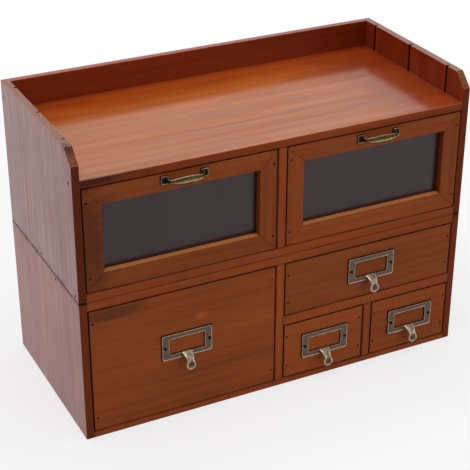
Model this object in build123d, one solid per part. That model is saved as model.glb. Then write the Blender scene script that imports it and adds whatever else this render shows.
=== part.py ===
from build123d import *

import os
from dataclasses import dataclass

# A desk organizer with a tray top and six drawers, built as two stacked wooden modules.
# All lengths are millimetres. The origin is the centre of the base footprint,
# +X points to the right, +Y to the back and +Z up. The drawers slide out along -Y.

# Case, from the outside in
depth = 215.0
opening_width = 221.5
side_thickness = 8.5
back_thickness = 8.0
divider_thickness = 10.0
bottom_board_thickness = 7.5
middle_board_thickness = 10.5
top_board_thickness = 9.0
gallery_rise = 32.0
gallery_chamfer = 16.0
edge_ease = 0.5

# Heights of the drawer openings, and the boards that part them
small_opening_height = 71.5
wide_opening_height = 68.0
glazed_opening_height = 119.5
shelf_thickness = 12.0
small_divider_thickness = 10.0

# Grooves down the inner faces of the side panels, where their boards meet
groove_width = 2.4
groove_depth = 1.6
groove_first = 35.0
groove_pitch = 75.5
groove_count = 3

# Drawers
side_gap = 1.0
head_gap = 0.9
running_gap = 0.3
rear_gap = 1.0
front_set_back = 0.5
front_thickness = 12.0
front_ease = 0.8
drawer_side_thickness = 8.5
drawer_back_thickness = 8.0
drawer_side_drop = 7.0
drawer_bottom_thickness = 4.0
drawer_bottom_rise = 4.0
drawer_groove_depth = 4.0
drawer_groove_clearance = 0.15

# Glazed fronts
frame_member_width = 20.5
frame_thickness = 13.0
pane_recess = 8.0
pane_thickness = 3.0
pane_lap = 5.0
pane_clearance = 0.4

# Panel pins in the case and in the drawer fronts, set just below the surface
pin_diameter = 1.6
pin_length = 20.0
pin_set = 0.3
pin_clearance = 0.05
upper_pin_from_front = 10.0
upper_pin_pitch = 104.0
lower_pin_from_front = 71.0
back_pin_from_top = 20.0
front_pin_inset = 16.0

# Wooden dowels that keep the two modules in line
dowel_diameter = 6.0
dowel_length = 16.0
dowel_inset = 30.0
dowel_clearance = 0.1

# Round-headed screws of the pulls and handles
screw_shank_diameter = 1.8
screw_head_diameter = 3.6
screw_head_height = 1.1
screw_head_rounding = 0.65
screw_length = 9.0
screw_slot_width = 0.6
screw_slot_depth = 0.5
screw_clearance = 0.1

# Label pulls: a card frame with a finger tab
label_width = 59.8
label_height = 31.0
label_thickness = 2.2
label_corner = 2.5
label_ease = 0.7
window_width = 42.0
window_height = 19.5
window_corner = 1.0
card_lap = 2.0
card_space = 0.9
label_screw_spacing = 52.8
tab_root_width = 13.8
tab_neck_width = 8.4
tab_waist_width = 7.0
tab_tip_radius = 5.5
tab_thickness = 1.8
tab_root_drop = 12.0
tab_neck_drop = 15.5
tab_end_drop = 28.2
tab_reach = 11.8
tab_bend = 4.0

# Bow handles: two screw plates and the bow between them, in one casting
handle_screw_spacing = 45.0
plate_width = 8.5
plate_height = 9.4
plate_thickness = 1.6
plate_corner = 1.2
bow_height = 7.6
bow_reach = 14.0
bow_middle_thickness = 5.2
bow_end_thickness = 2.6
bow_ease = 0.9

# How far each pull sits above the middle of its drawer front
large_label_raise = 7.5
wide_label_raise = 3.0
small_label_raise = 1.5
handle_raise = 2.0

# How far each pull sits to the right of the middle of its front
label_side_shift = 1.2
handle_side_shift = 2.0

# Places that follow from the sizes above
width = 2 * (side_thickness + opening_width) + divider_thickness
front_y = -depth / 2
back_y = depth / 2
inner_back_y = back_y - back_thickness
left_x0 = -width / 2 + side_thickness
left_x1 = left_x0 + opening_width
right_x0 = left_x1 + divider_thickness
right_x1 = right_x0 + opening_width
small_opening_width = (opening_width - small_divider_thickness) / 2
small_left_x1 = right_x0 + small_opening_width
small_right_x0 = small_left_x1 + small_divider_thickness

bottom_top_z = bottom_board_thickness
shelf_z = bottom_top_z + small_opening_height
shelf_top_z = shelf_z + shelf_thickness
lower_ceiling_z = shelf_top_z + wide_opening_height
seam_z = lower_ceiling_z + middle_board_thickness
upper_floor_z = seam_z + middle_board_thickness
upper_ceiling_z = upper_floor_z + glazed_opening_height
tray_z = upper_ceiling_z + top_board_thickness
top_z = tray_z + gallery_rise


@dataclass
class DrawerPlan:
    """One drawer: its name, the opening that it fills and how its front is made."""

    name: str
    x0: float
    x1: float
    z0: float
    z1: float
    glazed: bool = False
    label_raise: float = 0.0


drawer_plans = [
    DrawerPlan("upper_left", left_x0, left_x1, upper_floor_z, upper_ceiling_z, glazed=True),
    DrawerPlan("upper_right", right_x0, right_x1, upper_floor_z, upper_ceiling_z, glazed=True),
    DrawerPlan("large", left_x0, left_x1, bottom_top_z, lower_ceiling_z, label_raise=large_label_raise),
    DrawerPlan("wide", right_x0, right_x1, shelf_top_z, lower_ceiling_z, label_raise=wide_label_raise),
    DrawerPlan("small_left", right_x0, small_left_x1, bottom_top_z, shelf_z, False, small_label_raise),
    DrawerPlan("small_right", small_right_x0, right_x1, bottom_top_z, shelf_z, False, small_label_raise),
]


def block(x0, x1, y0, y1, z0, z1):
    """A plain box between two corners."""
    middle = Pos((x0 + x1) / 2, (y0 + y1) / 2, (z0 + z1) / 2)
    return middle * Box(x1 - x0, y1 - y0, z1 - z0)


def board(x0, x1, y0, y1, z0, z1, ease=edge_ease):
    """A planed board with all its edges eased."""
    return chamfer(block(x0, x1, y0, y1, z0, z1).edges(), ease)


def rod_along_x(x0, x1, y, z, diameter):
    """A round rod that lies along X."""
    return Pos((x0 + x1) / 2, y, z) * Rot(0, 90, 0) * Cylinder(diameter / 2, x1 - x0)


def rod_along_y(x, y0, y1, z, diameter):
    """A round rod that lies along Y."""
    return Pos(x, (y0 + y1) / 2, z) * Rot(90, 0, 0) * Cylinder(diameter / 2, y1 - y0)


def rod_along_z(x, y, z0, z1, diameter):
    """A round rod that stands along Z."""
    return Pos(x, y, (z0 + z1) / 2) * Cylinder(diameter / 2, z1 - z0)


def cut(solid, tools):
    """The solid with every tool taken away."""
    for tool in tools:
        solid = solid - tool
    return solid


def write(name, solids):
    """Write one node: a single solid, or a group of separate ones."""
    shape = solids[0] if len(solids) == 1 else Compound(children=list(solids))
    export_step(shape, f"parts/{name}.step")


# Case

def groove_places():
    """The Y of each groove in a side panel."""
    return [front_y + groove_first + groove_pitch * i for i in range(groove_count)]


def side_panel(on_right, z0, z1, front_top_chamfer=0.0):
    """A side panel, grooved on its inner face, with its front top corner cut off if asked."""
    outer_x = width / 2 if on_right else -width / 2
    inner_x = outer_x - side_thickness if on_right else outer_x + side_thickness
    panel = block(min(outer_x, inner_x), max(outer_x, inner_x), front_y, back_y, z0, z1)
    if front_top_chamfer:
        corner = panel.edges().filter_by(Axis.X).group_by(Axis.Z)[-1].sort_by(Axis.Y)[0]
        panel = chamfer(corner, front_top_chamfer)
    panel = chamfer(panel.edges(), edge_ease)
    into = 1 if on_right else -1
    for y in groove_places():
        profile = Polyline(
            (inner_x - into * groove_depth, y - groove_width),
            (inner_x + into * groove_depth, y),
            (inner_x - into * groove_depth, y + groove_width),
            close=True,
        )
        panel = panel - Pos(0, 0, z0) * extrude(make_face(profile), z1 - z0)
    return panel


def case_pin_places():
    """Where pins go through each side panel into a board's end: (Y, Z)."""
    upper_y = front_y + upper_pin_from_front
    in_tray_board = [(upper_y, upper_ceiling_z + top_board_thickness / 2)]
    in_upper_floor = [(upper_y + upper_pin_pitch * i, seam_z + middle_board_thickness / 2) for i in (0, 1)]
    in_lower_ceiling = [(front_y + lower_pin_from_front, seam_z - middle_board_thickness / 2)]
    in_back = [(back_y - back_thickness / 2, top_z - back_pin_from_top)]
    return in_tray_board + in_upper_floor + in_lower_ceiling + in_back


def case_pins(grow=0.0):
    """The pins through both side panels, or their holes when grown by a clearance."""
    pins = []
    for y, z in case_pin_places():
        for side in (-1, 1):
            outer = side * (width / 2 - pin_set + (pin_set if grow else 0))
            inner = side * (width / 2 - pin_set - pin_length - grow)
            pins.append(rod_along_x(min(outer, inner), max(outer, inner), y, z, pin_diameter + 2 * grow))
    return pins


def dowels(grow=0.0):
    """The dowels across the seam between the modules, or their holes when grown."""
    half = dowel_length / 2 + grow
    return [
        rod_along_z(x, y, seam_z - half, seam_z + half, dowel_diameter + 2 * grow)
        for x in (left_x0 + dowel_inset, right_x1 - dowel_inset)
        for y in (front_y + dowel_inset, inner_back_y - dowel_inset)
    ]


def build_case():
    """The two modules: sides, boards, dividers, backs, and what fixes them."""
    pin_holes = case_pins(grow=pin_clearance)
    dowel_holes = dowels(grow=dowel_clearance)

    write("lower_left_side", [cut(side_panel(False, 0, seam_z), pin_holes)])
    write("lower_right_side", [cut(side_panel(True, 0, seam_z), pin_holes)])
    upper_left = side_panel(False, seam_z, top_z, gallery_chamfer)
    upper_right = side_panel(True, seam_z, top_z, gallery_chamfer)
    write("upper_left_side", [cut(upper_left, pin_holes)])
    write("upper_right_side", [cut(upper_right, pin_holes)])

    span = (left_x0, right_x1, front_y, inner_back_y)
    write("lower_bottom_board", [board(*span, 0, bottom_top_z)])
    write("lower_top_board", [cut(board(*span, lower_ceiling_z, seam_z), dowel_holes + pin_holes)])
    write("upper_bottom_board", [cut(board(*span, seam_z, upper_floor_z), dowel_holes + pin_holes)])
    write("tray_board", [cut(board(*span, upper_ceiling_z, tray_z), pin_holes)])

    run = (front_y, inner_back_y)
    write("lower_divider", [board(left_x1, right_x0, *run, bottom_top_z, lower_ceiling_z)])
    write("upper_divider", [board(left_x1, right_x0, *run, upper_floor_z, upper_ceiling_z)])
    write("lower_shelf", [board(right_x0, right_x1, *run, shelf_z, shelf_top_z)])
    write("small_divider", [board(small_left_x1, small_right_x0, *run, bottom_top_z, shelf_z)])

    write("lower_back_panel", [board(left_x0, right_x1, inner_back_y, back_y, 0, seam_z)])
    upper_back = board(left_x0, right_x1, inner_back_y, back_y, seam_z, top_z)
    write("upper_back_panel", [cut(upper_back, pin_holes)])

    write("case_pins", case_pins())
    write("module_dowels", dowels())


# Fittings of the drawer fronts

def screw(x, y_seat, z):
    """A slotted round-head screw whose head sits at y_seat and whose shank runs back."""
    head = rod_along_y(x, y_seat - screw_head_height, y_seat, z, screw_head_diameter)
    rim = head.edges().filter_by(GeomType.CIRCLE).sort_by(Axis.Y)[0]
    head = fillet(rim, screw_head_rounding)
    slot = Pos(x, y_seat - screw_head_height, z) * Box(
        screw_head_diameter, 2 * screw_slot_depth, screw_slot_width
    )
    return head - slot + rod_along_y(x, y_seat, y_seat + screw_length, z, screw_shank_diameter)


def screw_hole(x, y_front, z):
    """The hole for one screw, from in front of a fitting to past the screw's point."""
    reach = y_front + screw_length + screw_clearance
    return rod_along_y(x, y_front - screw_head_height, reach, z, screw_shank_diameter + 2 * screw_clearance)


def rounded_plate(x, z, plate_w, plate_h, corner, y0, y1):
    """A rounded rectangle in the XZ plane, from y0 back to y1."""
    facing_front = Plane(origin=(x, y1, z), x_dir=(1, 0, 0), z_dir=(0, -1, 0))
    return extrude(facing_front * RectangleRounded(plate_w, plate_h, corner), y1 - y0)


def finger_tab(x, face_y, z):
    """The tab of a label pull: a strip that leaves the frame, bends and turns down to a round tip."""
    path = FilletPolyline(
        (face_y - label_thickness / 2, z - tab_root_drop),
        (face_y - tab_reach, z - tab_neck_drop),
        (face_y - tab_reach, z - tab_end_drop),
        radius=tab_bend,
    )
    side_view = Plane(origin=(x, 0, 0), x_dir=(0, 1, 0), z_dir=(1, 0, 0)) * trace(path, tab_thickness)
    strip = extrude(side_view, tab_root_width / 2, both=True)
    tip_z = z - tab_end_drop + tab_tip_radius
    outline = make_face(
        Polyline(
            (x - tab_root_width / 2, z - tab_root_drop + tab_thickness),
            (x + tab_root_width / 2, z - tab_root_drop + tab_thickness),
            (x + tab_root_width / 2, z - tab_root_drop - tab_thickness / 2),
            (x + tab_neck_width / 2, z - tab_neck_drop - tab_thickness / 2),
            (x + tab_waist_width / 2, tip_z),
            (x - tab_waist_width / 2, tip_z),
            (x - tab_neck_width / 2, z - tab_neck_drop - tab_thickness / 2),
            (x - tab_root_width / 2, z - tab_root_drop - tab_thickness / 2),
            close=True,
        )
    )
    outline = outline + Pos(x, tip_z) * Circle(tab_tip_radius)
    front_view = Plane(origin=(0, face_y, 0), x_dir=(1, 0, 0), z_dir=(0, -1, 0)) * outline
    return strip & extrude(front_view, tab_reach + tab_thickness)


def label_screw_places(x, z):
    """The two screws of a label pull: (X, Z)."""
    return [(x + side * label_screw_spacing / 2, z) for side in (-1, 1)]


def label_pull(x, face_y, z):
    """A card frame screwed to the front, open at its window, with a finger tab below."""
    plate = rounded_plate(x, z, label_width, label_height, label_corner, face_y - label_thickness, face_y)
    outer_rim = plate.faces().sort_by(Axis.Y)[0].edges()
    plate = chamfer(outer_rim, label_ease)
    through = (face_y - 2 * label_thickness, face_y + label_thickness)
    window = rounded_plate(x, z, window_width, window_height, window_corner, *through)
    card_rebate = block(
        x - window_width / 2 - card_lap,
        x + window_width / 2 + card_lap,
        face_y - card_space,
        face_y + label_thickness,
        z - window_height / 2 - card_lap,
        z + window_height / 2 + card_lap,
    )
    holes = [screw_hole(sx, face_y - label_thickness, sz) for sx, sz in label_screw_places(x, z)]
    return cut(plate - window - card_rebate + finger_tab(x, face_y, z), holes)


def handle_screw_places(x, z):
    """The two screws of a bow handle: (X, Z)."""
    return [(x + side * handle_screw_spacing / 2, z) for side in (-1, 1)]


def bow_handle(x, face_y, z):
    """A bow handle: a crescent bar, thick in the middle, whose ends grow into two screw plates."""
    end_x = (handle_screw_spacing - plate_width) / 2 + bow_end_thickness
    foot_x = end_x - bow_end_thickness
    root_y = face_y - plate_thickness / 2
    outer = ThreePointArc((x - end_x, root_y), (x, face_y - bow_reach), (x + end_x, root_y))
    inner = ThreePointArc(
        (x + foot_x, root_y), (x, face_y - bow_reach + bow_middle_thickness), (x - foot_x, root_y)
    )
    crescent = make_face([outer, Line(outer @ 1, inner @ 0), inner, Line(inner @ 1, outer @ 0)])
    bar = Pos(0, 0, z - bow_height / 2) * extrude(crescent, bow_height)
    long_edges = bar.edges().filter_by(GeomType.CIRCLE).group_by(Axis.Y)[0]
    bar = fillet(long_edges, bow_ease)
    holes = []
    seat_y = face_y - plate_thickness
    for sx, sz in handle_screw_places(x, z):
        bar = bar + rounded_plate(sx, sz, plate_width, plate_height, plate_corner, seat_y, face_y)
        holes.append(screw_hole(sx, seat_y, sz))
    return cut(bar, holes)


# Drawers

@dataclass
class DrawerSpace:
    """The box that a drawer fills, a gap inside its opening all round."""

    plan: DrawerPlan

    def __post_init__(self):
        self.x0 = self.plan.x0 + side_gap
        self.x1 = self.plan.x1 - side_gap
        self.z0 = self.plan.z0 + running_gap
        self.z1 = self.plan.z1 - head_gap
        self.face_y = front_y + front_set_back
        self.rear_y = inner_back_y - rear_gap
        self.middle_x = (self.x0 + self.x1) / 2
        self.middle_z = (self.z0 + self.z1) / 2
        self.side_top_z = self.z1 - drawer_side_drop
        self.floor_z = self.z0 + drawer_bottom_rise
        self.floor_top_z = self.floor_z + drawer_bottom_thickness


def front_pins(space, grow=0.0):
    """The pins that hold a front to its drawer sides, or their holes when grown."""
    y0 = space.face_y + (0 if grow else pin_set)
    y1 = space.face_y + pin_set + pin_length + grow
    inset = drawer_side_thickness / 2
    return [
        rod_along_y(x, y0, y1, z, pin_diameter + 2 * grow)
        for x in (space.x0 + inset, space.x1 - inset)
        for z in (space.z0 + front_pin_inset, space.z1 - front_pin_inset)
    ]


def bottom_slot(space, box_front_y):
    """The groove cut for a drawer's bottom, in its front and its sides and out at the rear."""
    return block(
        space.x0 + drawer_side_thickness - drawer_groove_depth,
        space.x1 - drawer_side_thickness + drawer_groove_depth,
        box_front_y - drawer_groove_depth,
        space.rear_y + drawer_back_thickness,
        space.floor_z - drawer_groove_clearance,
        space.floor_top_z + drawer_groove_clearance,
    )


def build_drawer_box(name, space, box_front_y, pin_holes, slot):
    """The sides, back and bottom of a drawer, behind its front."""
    side_box = (box_front_y, space.rear_y, space.z0, space.side_top_z)
    left = board(space.x0, space.x0 + drawer_side_thickness, *side_box)
    right = board(space.x1 - drawer_side_thickness, space.x1, *side_box)
    write(f"{name}_drawer_left_side", [cut(left, pin_holes + [slot])])
    write(f"{name}_drawer_right_side", [cut(right, pin_holes + [slot])])
    back = board(
        space.x0 + drawer_side_thickness,
        space.x1 - drawer_side_thickness,
        space.rear_y - drawer_back_thickness,
        space.rear_y,
        space.floor_top_z + drawer_groove_clearance,
        space.side_top_z,
    )
    write(f"{name}_drawer_back", [back])
    slack = 2 * drawer_groove_clearance
    bottom = block(
        space.x0 + drawer_side_thickness - drawer_groove_depth + slack,
        space.x1 - drawer_side_thickness + drawer_groove_depth - slack,
        box_front_y - drawer_groove_depth + slack,
        space.rear_y,
        space.floor_z,
        space.floor_top_z,
    )
    write(f"{name}_drawer_bottom", [bottom])


def build_plain_drawer(plan):
    """A drawer with a solid wooden front and a label pull."""
    space = DrawerSpace(plan)
    box_front_y = space.face_y + front_thickness
    pin_holes = front_pins(space, grow=pin_clearance)
    slot = bottom_slot(space, box_front_y)
    label_x = space.middle_x + label_side_shift
    label_z = space.middle_z + plan.label_raise
    places = label_screw_places(label_x, label_z)
    seat_y = space.face_y - label_thickness
    screws = [screw(x, seat_y, z) for x, z in places]
    screw_holes = [screw_hole(x, seat_y, z) for x, z in places]
    front = board(space.x0, space.x1, space.face_y, box_front_y, space.z0, space.z1, front_ease)
    write(f"{plan.name}_drawer_front", [cut(front, pin_holes + screw_holes + [slot])])
    write(f"{plan.name}_label_pull", [label_pull(label_x, space.face_y, label_z)])
    write(f"{plan.name}_drawer_fixings", front_pins(space) + screws)
    build_drawer_box(plan.name, space, box_front_y, pin_holes, slot)


def frame_member(space, side):
    """One mitred member of a glazed front, rebated behind for the pane.

    Side is 0 for the bottom rail, 1 for the right stile, 2 for the top rail, 3 for the left stile.
    """
    lap = frame_member_width
    outer = [(space.x0, space.z0), (space.x1, space.z0), (space.x1, space.z1), (space.x0, space.z1)]
    inner = [
        (space.x0 + lap, space.z0 + lap),
        (space.x1 - lap, space.z0 + lap),
        (space.x1 - lap, space.z1 - lap),
        (space.x0 + lap, space.z1 - lap),
    ]
    following = (side + 1) % 4
    outline = make_face(Polyline(outer[side], outer[following], inner[following], inner[side], close=True))
    rear_y = space.face_y + frame_thickness
    face = Plane(origin=(0, rear_y, 0), x_dir=(1, 0, 0), z_dir=(0, -1, 0)) * outline
    member = chamfer(extrude(face, frame_thickness).edges(), edge_ease)
    rebate = block(
        space.x0 + lap - pane_lap,
        space.x1 - lap + pane_lap,
        space.face_y + pane_recess,
        rear_y + pane_thickness,
        space.z0 + lap - pane_lap,
        space.z1 - lap + pane_lap,
    )
    return member - rebate


def glass_pane(space):
    """The pane, bedded in the rebate of the frame."""
    reach = frame_member_width - pane_lap + pane_clearance
    return block(
        space.x0 + reach,
        space.x1 - reach,
        space.face_y + pane_recess,
        space.face_y + pane_recess + pane_thickness,
        space.z0 + reach,
        space.z1 - reach,
    )


def build_glazed_drawer(plan):
    """A drawer whose front is a glazed frame with a bow handle on its top rail."""
    space = DrawerSpace(plan)
    box_front_y = space.face_y + frame_thickness
    pin_holes = front_pins(space, grow=pin_clearance)
    slot = bottom_slot(space, box_front_y)
    handle_x = space.middle_x + handle_side_shift
    handle_z = space.z1 - frame_member_width / 2 + handle_raise
    places = handle_screw_places(handle_x, handle_z)
    seat_y = space.face_y - plate_thickness
    screws = [screw(x, seat_y, z) for x, z in places]
    screw_holes = [screw_hole(x, seat_y, z) for x, z in places]
    members = [cut(frame_member(space, side), pin_holes + screw_holes + [slot]) for side in range(4)]
    write(f"{plan.name}_glazed_frame", members)
    write(f"{plan.name}_glass_pane", [glass_pane(space)])
    write(f"{plan.name}_bow_handle", [bow_handle(handle_x, space.face_y, handle_z)])
    write(f"{plan.name}_drawer_fixings", front_pins(space) + screws)
    build_drawer_box(plan.name, space, box_front_y, pin_holes, slot)


os.makedirs("parts", exist_ok=True)
build_case()
for drawer_plan in drawer_plans:
    if drawer_plan.glazed:
        build_glazed_drawer(drawer_plan)
    else:
        build_plain_drawer(drawer_plan)
print(f"overall {width:.1f} wide, {depth:.1f} deep, {top_z:.1f} high")
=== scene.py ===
import logging
import math
from dataclasses import dataclass, field, replace
from enum import Enum

import bmesh
import bpy
import numpy as np
from mathutils import Matrix, Vector


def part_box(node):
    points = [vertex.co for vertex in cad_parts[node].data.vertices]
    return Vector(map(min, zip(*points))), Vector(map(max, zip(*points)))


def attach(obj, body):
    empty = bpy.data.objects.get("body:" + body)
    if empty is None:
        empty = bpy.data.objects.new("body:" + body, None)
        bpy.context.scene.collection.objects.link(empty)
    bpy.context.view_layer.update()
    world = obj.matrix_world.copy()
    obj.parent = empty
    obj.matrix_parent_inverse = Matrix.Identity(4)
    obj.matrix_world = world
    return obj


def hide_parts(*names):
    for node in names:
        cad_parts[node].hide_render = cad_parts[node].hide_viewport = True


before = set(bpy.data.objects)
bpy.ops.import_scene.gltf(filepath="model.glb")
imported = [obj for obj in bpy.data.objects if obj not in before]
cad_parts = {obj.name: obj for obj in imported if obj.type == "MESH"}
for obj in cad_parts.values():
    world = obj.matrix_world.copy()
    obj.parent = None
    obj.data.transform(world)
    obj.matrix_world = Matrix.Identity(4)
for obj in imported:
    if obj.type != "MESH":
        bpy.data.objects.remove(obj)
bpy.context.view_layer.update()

# The finishes of a desk organizer with a tray top and six drawers, and its cast pulls and handles.
# New shapes are worked out in millimetres and stored in metres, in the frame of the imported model:
# +X to the right, +Y to the back and +Z up. The drawers slide out along -Y.

MM = 0.001

# How far a board's centre may lie from its tree's heart: along, across and deep, least and most, in metres.
HEART_RANGE = ((-2.0, -0.05, 0.09), (2.0, 0.05, 0.2))

# Points this near are welded, edges sharper than this stay crisp, and pins lie further apart than this.
WELD_REACH = 0.002 * MM
CRISP_ANGLE = math.radians(50)
PIN_GAP = 3 * MM

log = logging.getLogger("organizer")
random = np.random.default_rng(24)

Colour = tuple[float, float, float]
Place = tuple[float, float, float]
Box = tuple[Vector, Vector]
Socket = bpy.types.NodeSocket
Fed = Socket | float | tuple[float, ...]


def stain(red: int, green: int, blue: int) -> Colour:
    """A colour as it shows on a screen, 0 to 255, made linear for a shader.

    Args:
        red: Its red.
        green: Its green.
        blue: Its blue.

    Returns:
        The linear colour.
    """
    shown = np.array([red, green, blue]) / 255
    linear = np.where(shown > 0.04045, ((shown + 0.055) / 1.055) ** 2.4, shown / 12.92)
    return tuple(float(part) for part in linear)


# Node trees

class Kind(Enum):
    """What a socket of an effect carries."""

    NUMBER = "NodeSocketFloat"
    VECTOR = "NodeSocketVector"


class Wiring:
    """Puts nodes into one tree and joins them, so that a finish reads as a list of steps."""

    def __init__(self, tree: bpy.types.NodeTree) -> None:
        """Work on the tree of a material, a world or an effect."""
        self.tree = tree

    def add(self, kind: str, **settings: object) -> bpy.types.Node:
        """Add a node.

        Args:
            kind: The identifier of its type.
            settings: Properties to give it.

        Returns:
            The node.
        """
        node = self.tree.nodes.new(kind)
        for name, value in settings.items():
            setattr(node, name, value)
        return node

    def feed(self, socket: Socket, value: Fed) -> None:
        """Join a socket to another one, or give it a constant.

        Args:
            socket: The socket.
            value: What it gets.
        """
        if isinstance(value, bpy.types.NodeSocket):
            self.tree.links.new(value, socket)
        elif socket.type == "RGBA":
            socket.default_value = (*value, 1.0)
        else:
            socket.default_value = value

    def fill(self, node: bpy.types.Node, values: dict[int | str, Fed]) -> None:
        """Feed several inputs of a node, by their names or numbers."""
        for key, value in values.items():
            self.feed(node.inputs[key], value)

    def math(self, operation: str, *operands: Fed) -> Socket:
        """One step of arithmetic on numbers.

        Args:
            operation: What is done.
            operands: The numbers.

        Returns:
            The result.
        """
        node = self.add("ShaderNodeMath", operation=operation)
        self.fill(node, dict(enumerate(operands)))
        return node.outputs[0]

    def times(self, first: Fed, second: Fed) -> Socket:
        """The product of two numbers."""
        return self.math("MULTIPLY", first, second)

    def vector(self, operation: str, *operands: Fed) -> Socket:
        """One step of arithmetic on vectors; a dot product and a length give a number.

        Args:
            operation: What is done.
            operands: The vectors.

        Returns:
            The result.
        """
        node = self.add("ShaderNodeVectorMath", operation=operation)
        self.fill(node, dict(enumerate(operands)))
        return node.outputs["Value" if operation in ("DOT_PRODUCT", "LENGTH") else "Vector"]

    def length(self, vector: Socket) -> Socket:
        """The length of a vector."""
        return self.vector("LENGTH", vector)

    def parts(self, vector: Socket) -> list[Socket]:
        """The three numbers of a vector.

        Args:
            vector: The vector.

        Returns:
            X, Y and Z.
        """
        node = self.add("ShaderNodeSeparateXYZ")
        self.feed(node.inputs[0], vector)
        return list(node.outputs)

    def offsets(self, place: Socket, middle: Vector) -> list[Socket]:
        """How far a place is from a middle along X, Y and Z, without the signs."""
        return self.parts(self.vector("ABSOLUTE", self.vector("SUBTRACT", place, tuple(middle))))

    def object_place(self) -> Socket:
        """Where a point of the surface lies, in metres."""
        return self.add("ShaderNodeTexCoord").outputs["Object"]

    def step(self, value: Fed, start: float, end: float, low: Fed = 0.0, high: Fed = 1.0) -> Socket:
        """A smooth step.

        Args:
            value: What steps.
            start: Where it begins to rise.
            end: Where it is up.
            low: The result before the start.
            high: The result past the end.

        Returns:
            The stepped number.
        """
        node = self.add("ShaderNodeMapRange", interpolation_type="SMOOTHSTEP")
        self.fill(node, {"Value": value, "From Min": start, "From Max": end, "To Min": low, "To Max": high})
        return node.outputs["Result"]

    def noise(self, place: Socket, stretch: Place, detail: float = 2.0) -> Socket:
        """Soft noise.

        Args:
            place: Where, in metres.
            stretch: Swings per metre along each direction.
            detail: How many finer layers it has.

        Returns:
            A number round 0.5.
        """
        node = self.add("ShaderNodeTexNoise")
        self.fill(node, {"Vector": self.vector("MULTIPLY", place, stretch), "Scale": 1.0, "Detail": detail})
        return node.outputs["Fac"]

    def swing(self, noise: Socket, low: Fed = 0.0, high: Fed = 1.0) -> Socket:
        """A noise, which seldom goes far from 0.5, drawn out between two values."""
        return self.step(noise, 0.3, 0.7, low, high)

    def mix(self, share: Fed, first: Fed, second: Fed) -> Socket:
        """Blend two colours: the first at share 0, the second at share 1.

        Args:
            share: How much of the second.
            first: A colour.
            second: The colour over it.

        Returns:
            The blended colour.
        """
        node = self.add("ShaderNodeMix", data_type="RGBA")
        self.fill(node, {0: share, 6: first, 7: second})
        return node.outputs[2]

    def mix_places(self, share: Fed, first: Fed, second: Fed) -> Socket:
        """Blend two places: the first at share 0, the second at share 1.

        Args:
            share: How much of the second.
            first: A place.
            second: The place instead of it.

        Returns:
            The blended place.
        """
        node = self.add("ShaderNodeMix", data_type="VECTOR")
        self.fill(node, {0: share, 4: first, 5: second})
        return node.outputs[1]

    def brighten(self, colour: Fed, value: Fed) -> Socket:
        """Scale a colour's brightness.

        Args:
            colour: The colour.
            value: What scales it.

        Returns:
            The scaled colour.
        """
        node = self.add("ShaderNodeHueSaturation")
        self.fill(node, {"Color": colour, "Value": value})
        return node.outputs["Color"]

    def bump(self, height: Socket, distance: float, strength: float) -> Socket:
        """A normal from a height of 0 to 1, which stands for a distance in metres.

        Args:
            height: The height.
            distance: What a height of 1 is.
            strength: How far it shows, 0 to 1.

        Returns:
            The normal.
        """
        node = self.add("ShaderNodeBump")
        self.fill(node, {"Height": height, "Distance": distance, "Strength": strength})
        return node.outputs["Normal"]


def blank_material(name: str) -> tuple[bpy.types.Material, Wiring, bpy.types.Node]:
    """A new material that has only its shader.

    Args:
        name: Its name.

    Returns:
        The material, its wiring and its shader.
    """
    material = bpy.data.materials.new(name)
    material.use_nodes = True
    return material, Wiring(material.node_tree), material.node_tree.nodes["Principled BSDF"]


class Effect:
    """A node group that several finishes share. It is built on first use."""

    title: str = ""
    takes: dict[str, Kind] = {}
    gives: tuple[str, ...] = ()

    def wire(self, wiring: Wiring, taken: dict[str, Socket]) -> dict[str, Socket]:
        """Build the inside of the group.

        Args:
            wiring: The group's wiring.
            taken: Its inputs by name.

        Returns:
            Its outputs by name.
        """
        raise NotImplementedError

    def tree(self) -> bpy.types.NodeTree:
        """The group's tree, made once.

        Returns:
            The tree.
        """
        found = bpy.data.node_groups.get(self.title)
        if found:
            return found
        tree = bpy.data.node_groups.new(self.title, "ShaderNodeTree")
        for name, kind in self.takes.items():
            tree.interface.new_socket(name=name, in_out="INPUT", socket_type=kind.value)
        for name in self.gives:
            tree.interface.new_socket(name=name, in_out="OUTPUT", socket_type=Kind.NUMBER.value)
        wiring = Wiring(tree)
        entry = wiring.add("NodeGroupInput")
        leave = wiring.add("NodeGroupOutput")
        given = self.wire(wiring, {name: entry.outputs[name] for name in self.takes})
        for name, socket in given.items():
            wiring.feed(leave.inputs[name], socket)
        return tree

    def place(self, wiring: Wiring, *values: Fed) -> list[Socket]:
        """Put the group into a finish.

        Args:
            wiring: The finish's wiring.
            values: One for each input, in order.

        Returns:
            Its outputs, in order.
        """
        node = wiring.add("ShaderNodeGroup", node_tree=self.tree())
        for name, value in zip(self.takes, values):
            wiring.feed(node.inputs[name], value)
        return [node.outputs[name] for name in self.gives]


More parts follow.
